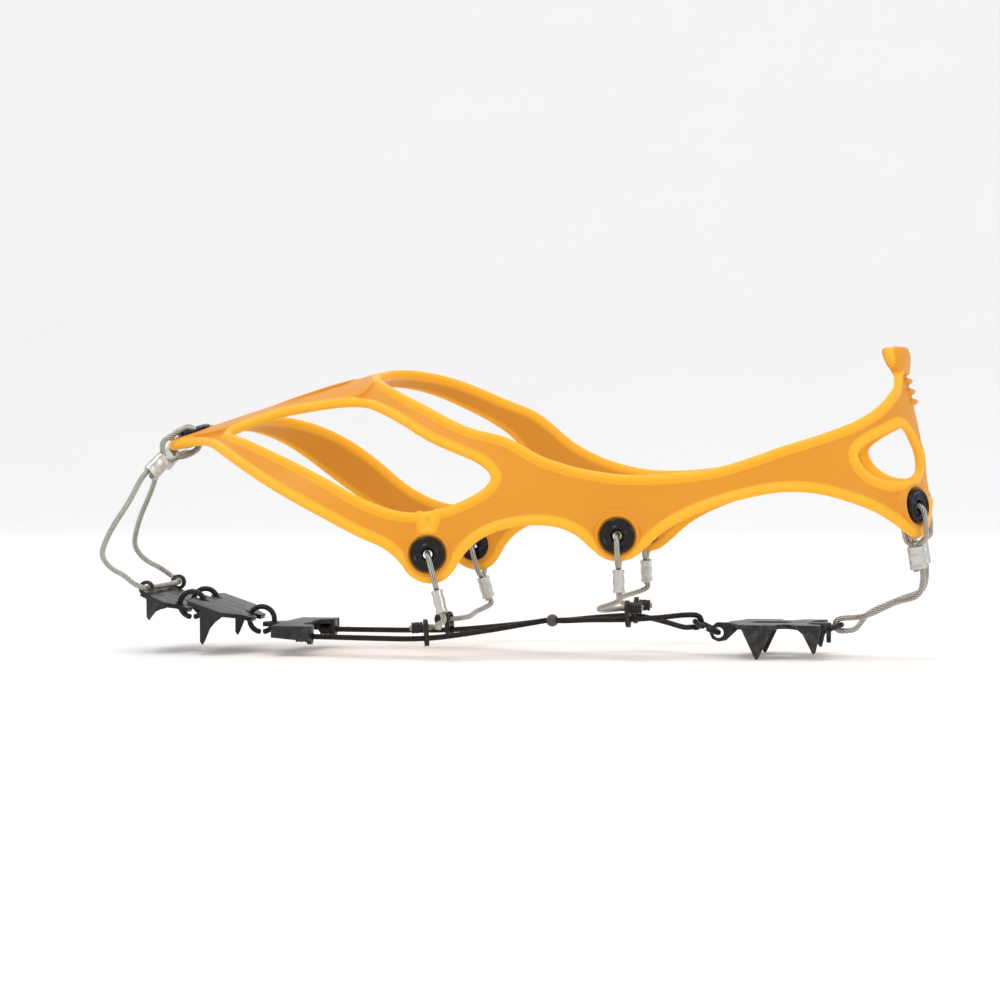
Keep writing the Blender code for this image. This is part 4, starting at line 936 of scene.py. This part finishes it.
def bead_finish():
    made = Finish("bead_moulded", IOR=1.45)
    made.drive("Base Color", made.colours(made.noise(1.5, 3.0), (0.055, 0.060, 0.058), (0.085, 0.09, 0.088)))
    made.drive("Roughness", made.ranged(made.noise(1.0, 4.0), 0.3, 0.7, 0.42, 0.56))
    made.bump(made.noise(0.4, 3.0), 0.15, 0.05)
    return made.material


# ---- the rest ----


def finish_plates(material, bead):
    """Rolls the sharp edges of the pressed pieces and gives them their finish."""
    for node, piece in frame["nodes"].items():
        if not node.startswith(("plate_", "link_", "bead")):
            continue
        piece.data.materials.clear()
        piece.data.materials.append(bead if node == "bead" else material)
        weld = piece.modifiers.new("weld", "WELD")
        weld.merge_threshold = 0.00001
        rolled = piece.modifiers.new("edges", "BEVEL")
        rolled.width = (0.6 if node == "bead" else 0.22) * MM
        rolled.segments = 2
        rolled.limit_method = "ANGLE"
        rolled.angle_limit = math.radians(28)
        rolled.harden_normals = True
        piece.data.shade_smooth()


def studio():
    """Pale paper swept up behind, an even white surround and three soft lights."""
    paper = Finish("floor_paper", Roughness=0.9)
    paper.drive("Base Color", paper.colours(paper.noise(60.0, 2.0), (0.93, 0.93, 0.93), (0.95, 0.95, 0.95)))
    profile = [(-PAPER_HALF, 0.0)]
    for k in range(PAPER_STEPS + 1):
        turn = math.pi / 2 * k / PAPER_STEPS
        profile.append((PAPER_FLAT + PAPER_BEND * math.sin(turn), PAPER_BEND * (1 - math.cos(turn))))
    profile.append((PAPER_FLAT + PAPER_BEND, PAPER_HALF))
    corners = [Vector((x, y, z)) for y, z in profile for x in (-PAPER_HALF, PAPER_HALF)]
    faces = [(2 * k, 2 * k + 1, 2 * k + 3, 2 * k + 2) for k in range(len(profile) - 1)]
    floor = mesh_object("floor", corners, faces, paper.material)
    world = bpy.data.worlds.new("studio")
    world.use_nodes = True
    surround = world.node_tree.nodes["Background"]
    surround.inputs["Color"].default_value = (1.0, 1.0, 1.0, 1.0)
    surround.inputs["Strength"].default_value = SURROUND
    bpy.context.scene.world = world
    target = Vector((0.0, 0.0, 0.05))
    for i, (place, across, watts) in enumerate(SOFTBOXES):
        data = bpy.data.lights.new(f"softbox_{i}", "AREA")
        data.shape = "DISK"
        data.size = across
        data.energy = watts
        lamp = bpy.data.objects.new(f"softbox_{i}", data)
        lamp.location = place
        lamp.rotation_mode = "QUATERNION"
        lamp.rotation_quaternion = (target - lamp.location).to_track_quat("-Z", "Y")
        bpy.context.scene.collection.objects.link(lamp)


def camera():
    """Low beside the lateral side, a little to the heel's end."""
    across = math.cos(CAMERA_ELEVATION)
    away = Vector(
        (
            math.sin(CAMERA_AZIMUTH) * across,
            -math.cos(CAMERA_AZIMUTH) * across,
            math.sin(CAMERA_ELEVATION),
        )
    )
    data = bpy.data.cameras.new("camera")
    data.sensor_width = 36.0
    data.lens = CAMERA_LENS
    data.clip_start = 0.05
    shot = bpy.data.objects.new("camera", data)
    shot.location = placed(CAMERA_TARGET) + away * CAMERA_AWAY
    shot.rotation_mode = "QUATERNION"
    shot.rotation_quaternion = (-away).to_track_quat("-Z", "Y")
    bpy.context.scene.collection.objects.link(shot)
    bpy.context.scene.camera = shot


rubber = elastomer()
gloss = black_gloss()
aluminium = pressed_aluminium()
black = plate_finish()
build_harness(rubber)
build_wires(bare_steel(), dark_steel(), black)
for name in list(frame["nodes"]):
    if name.startswith("eyelet_"):
        build_eyelet(name, gloss)
    elif name.startswith(("ferrule_", "stop_")):
        build_crimp(name, black if name.startswith("stop_") else aluminium)
finish_plates(black, bead_finish())
studio()
camera()
bpy.context.scene.view_settings.view_transform = "Standard"
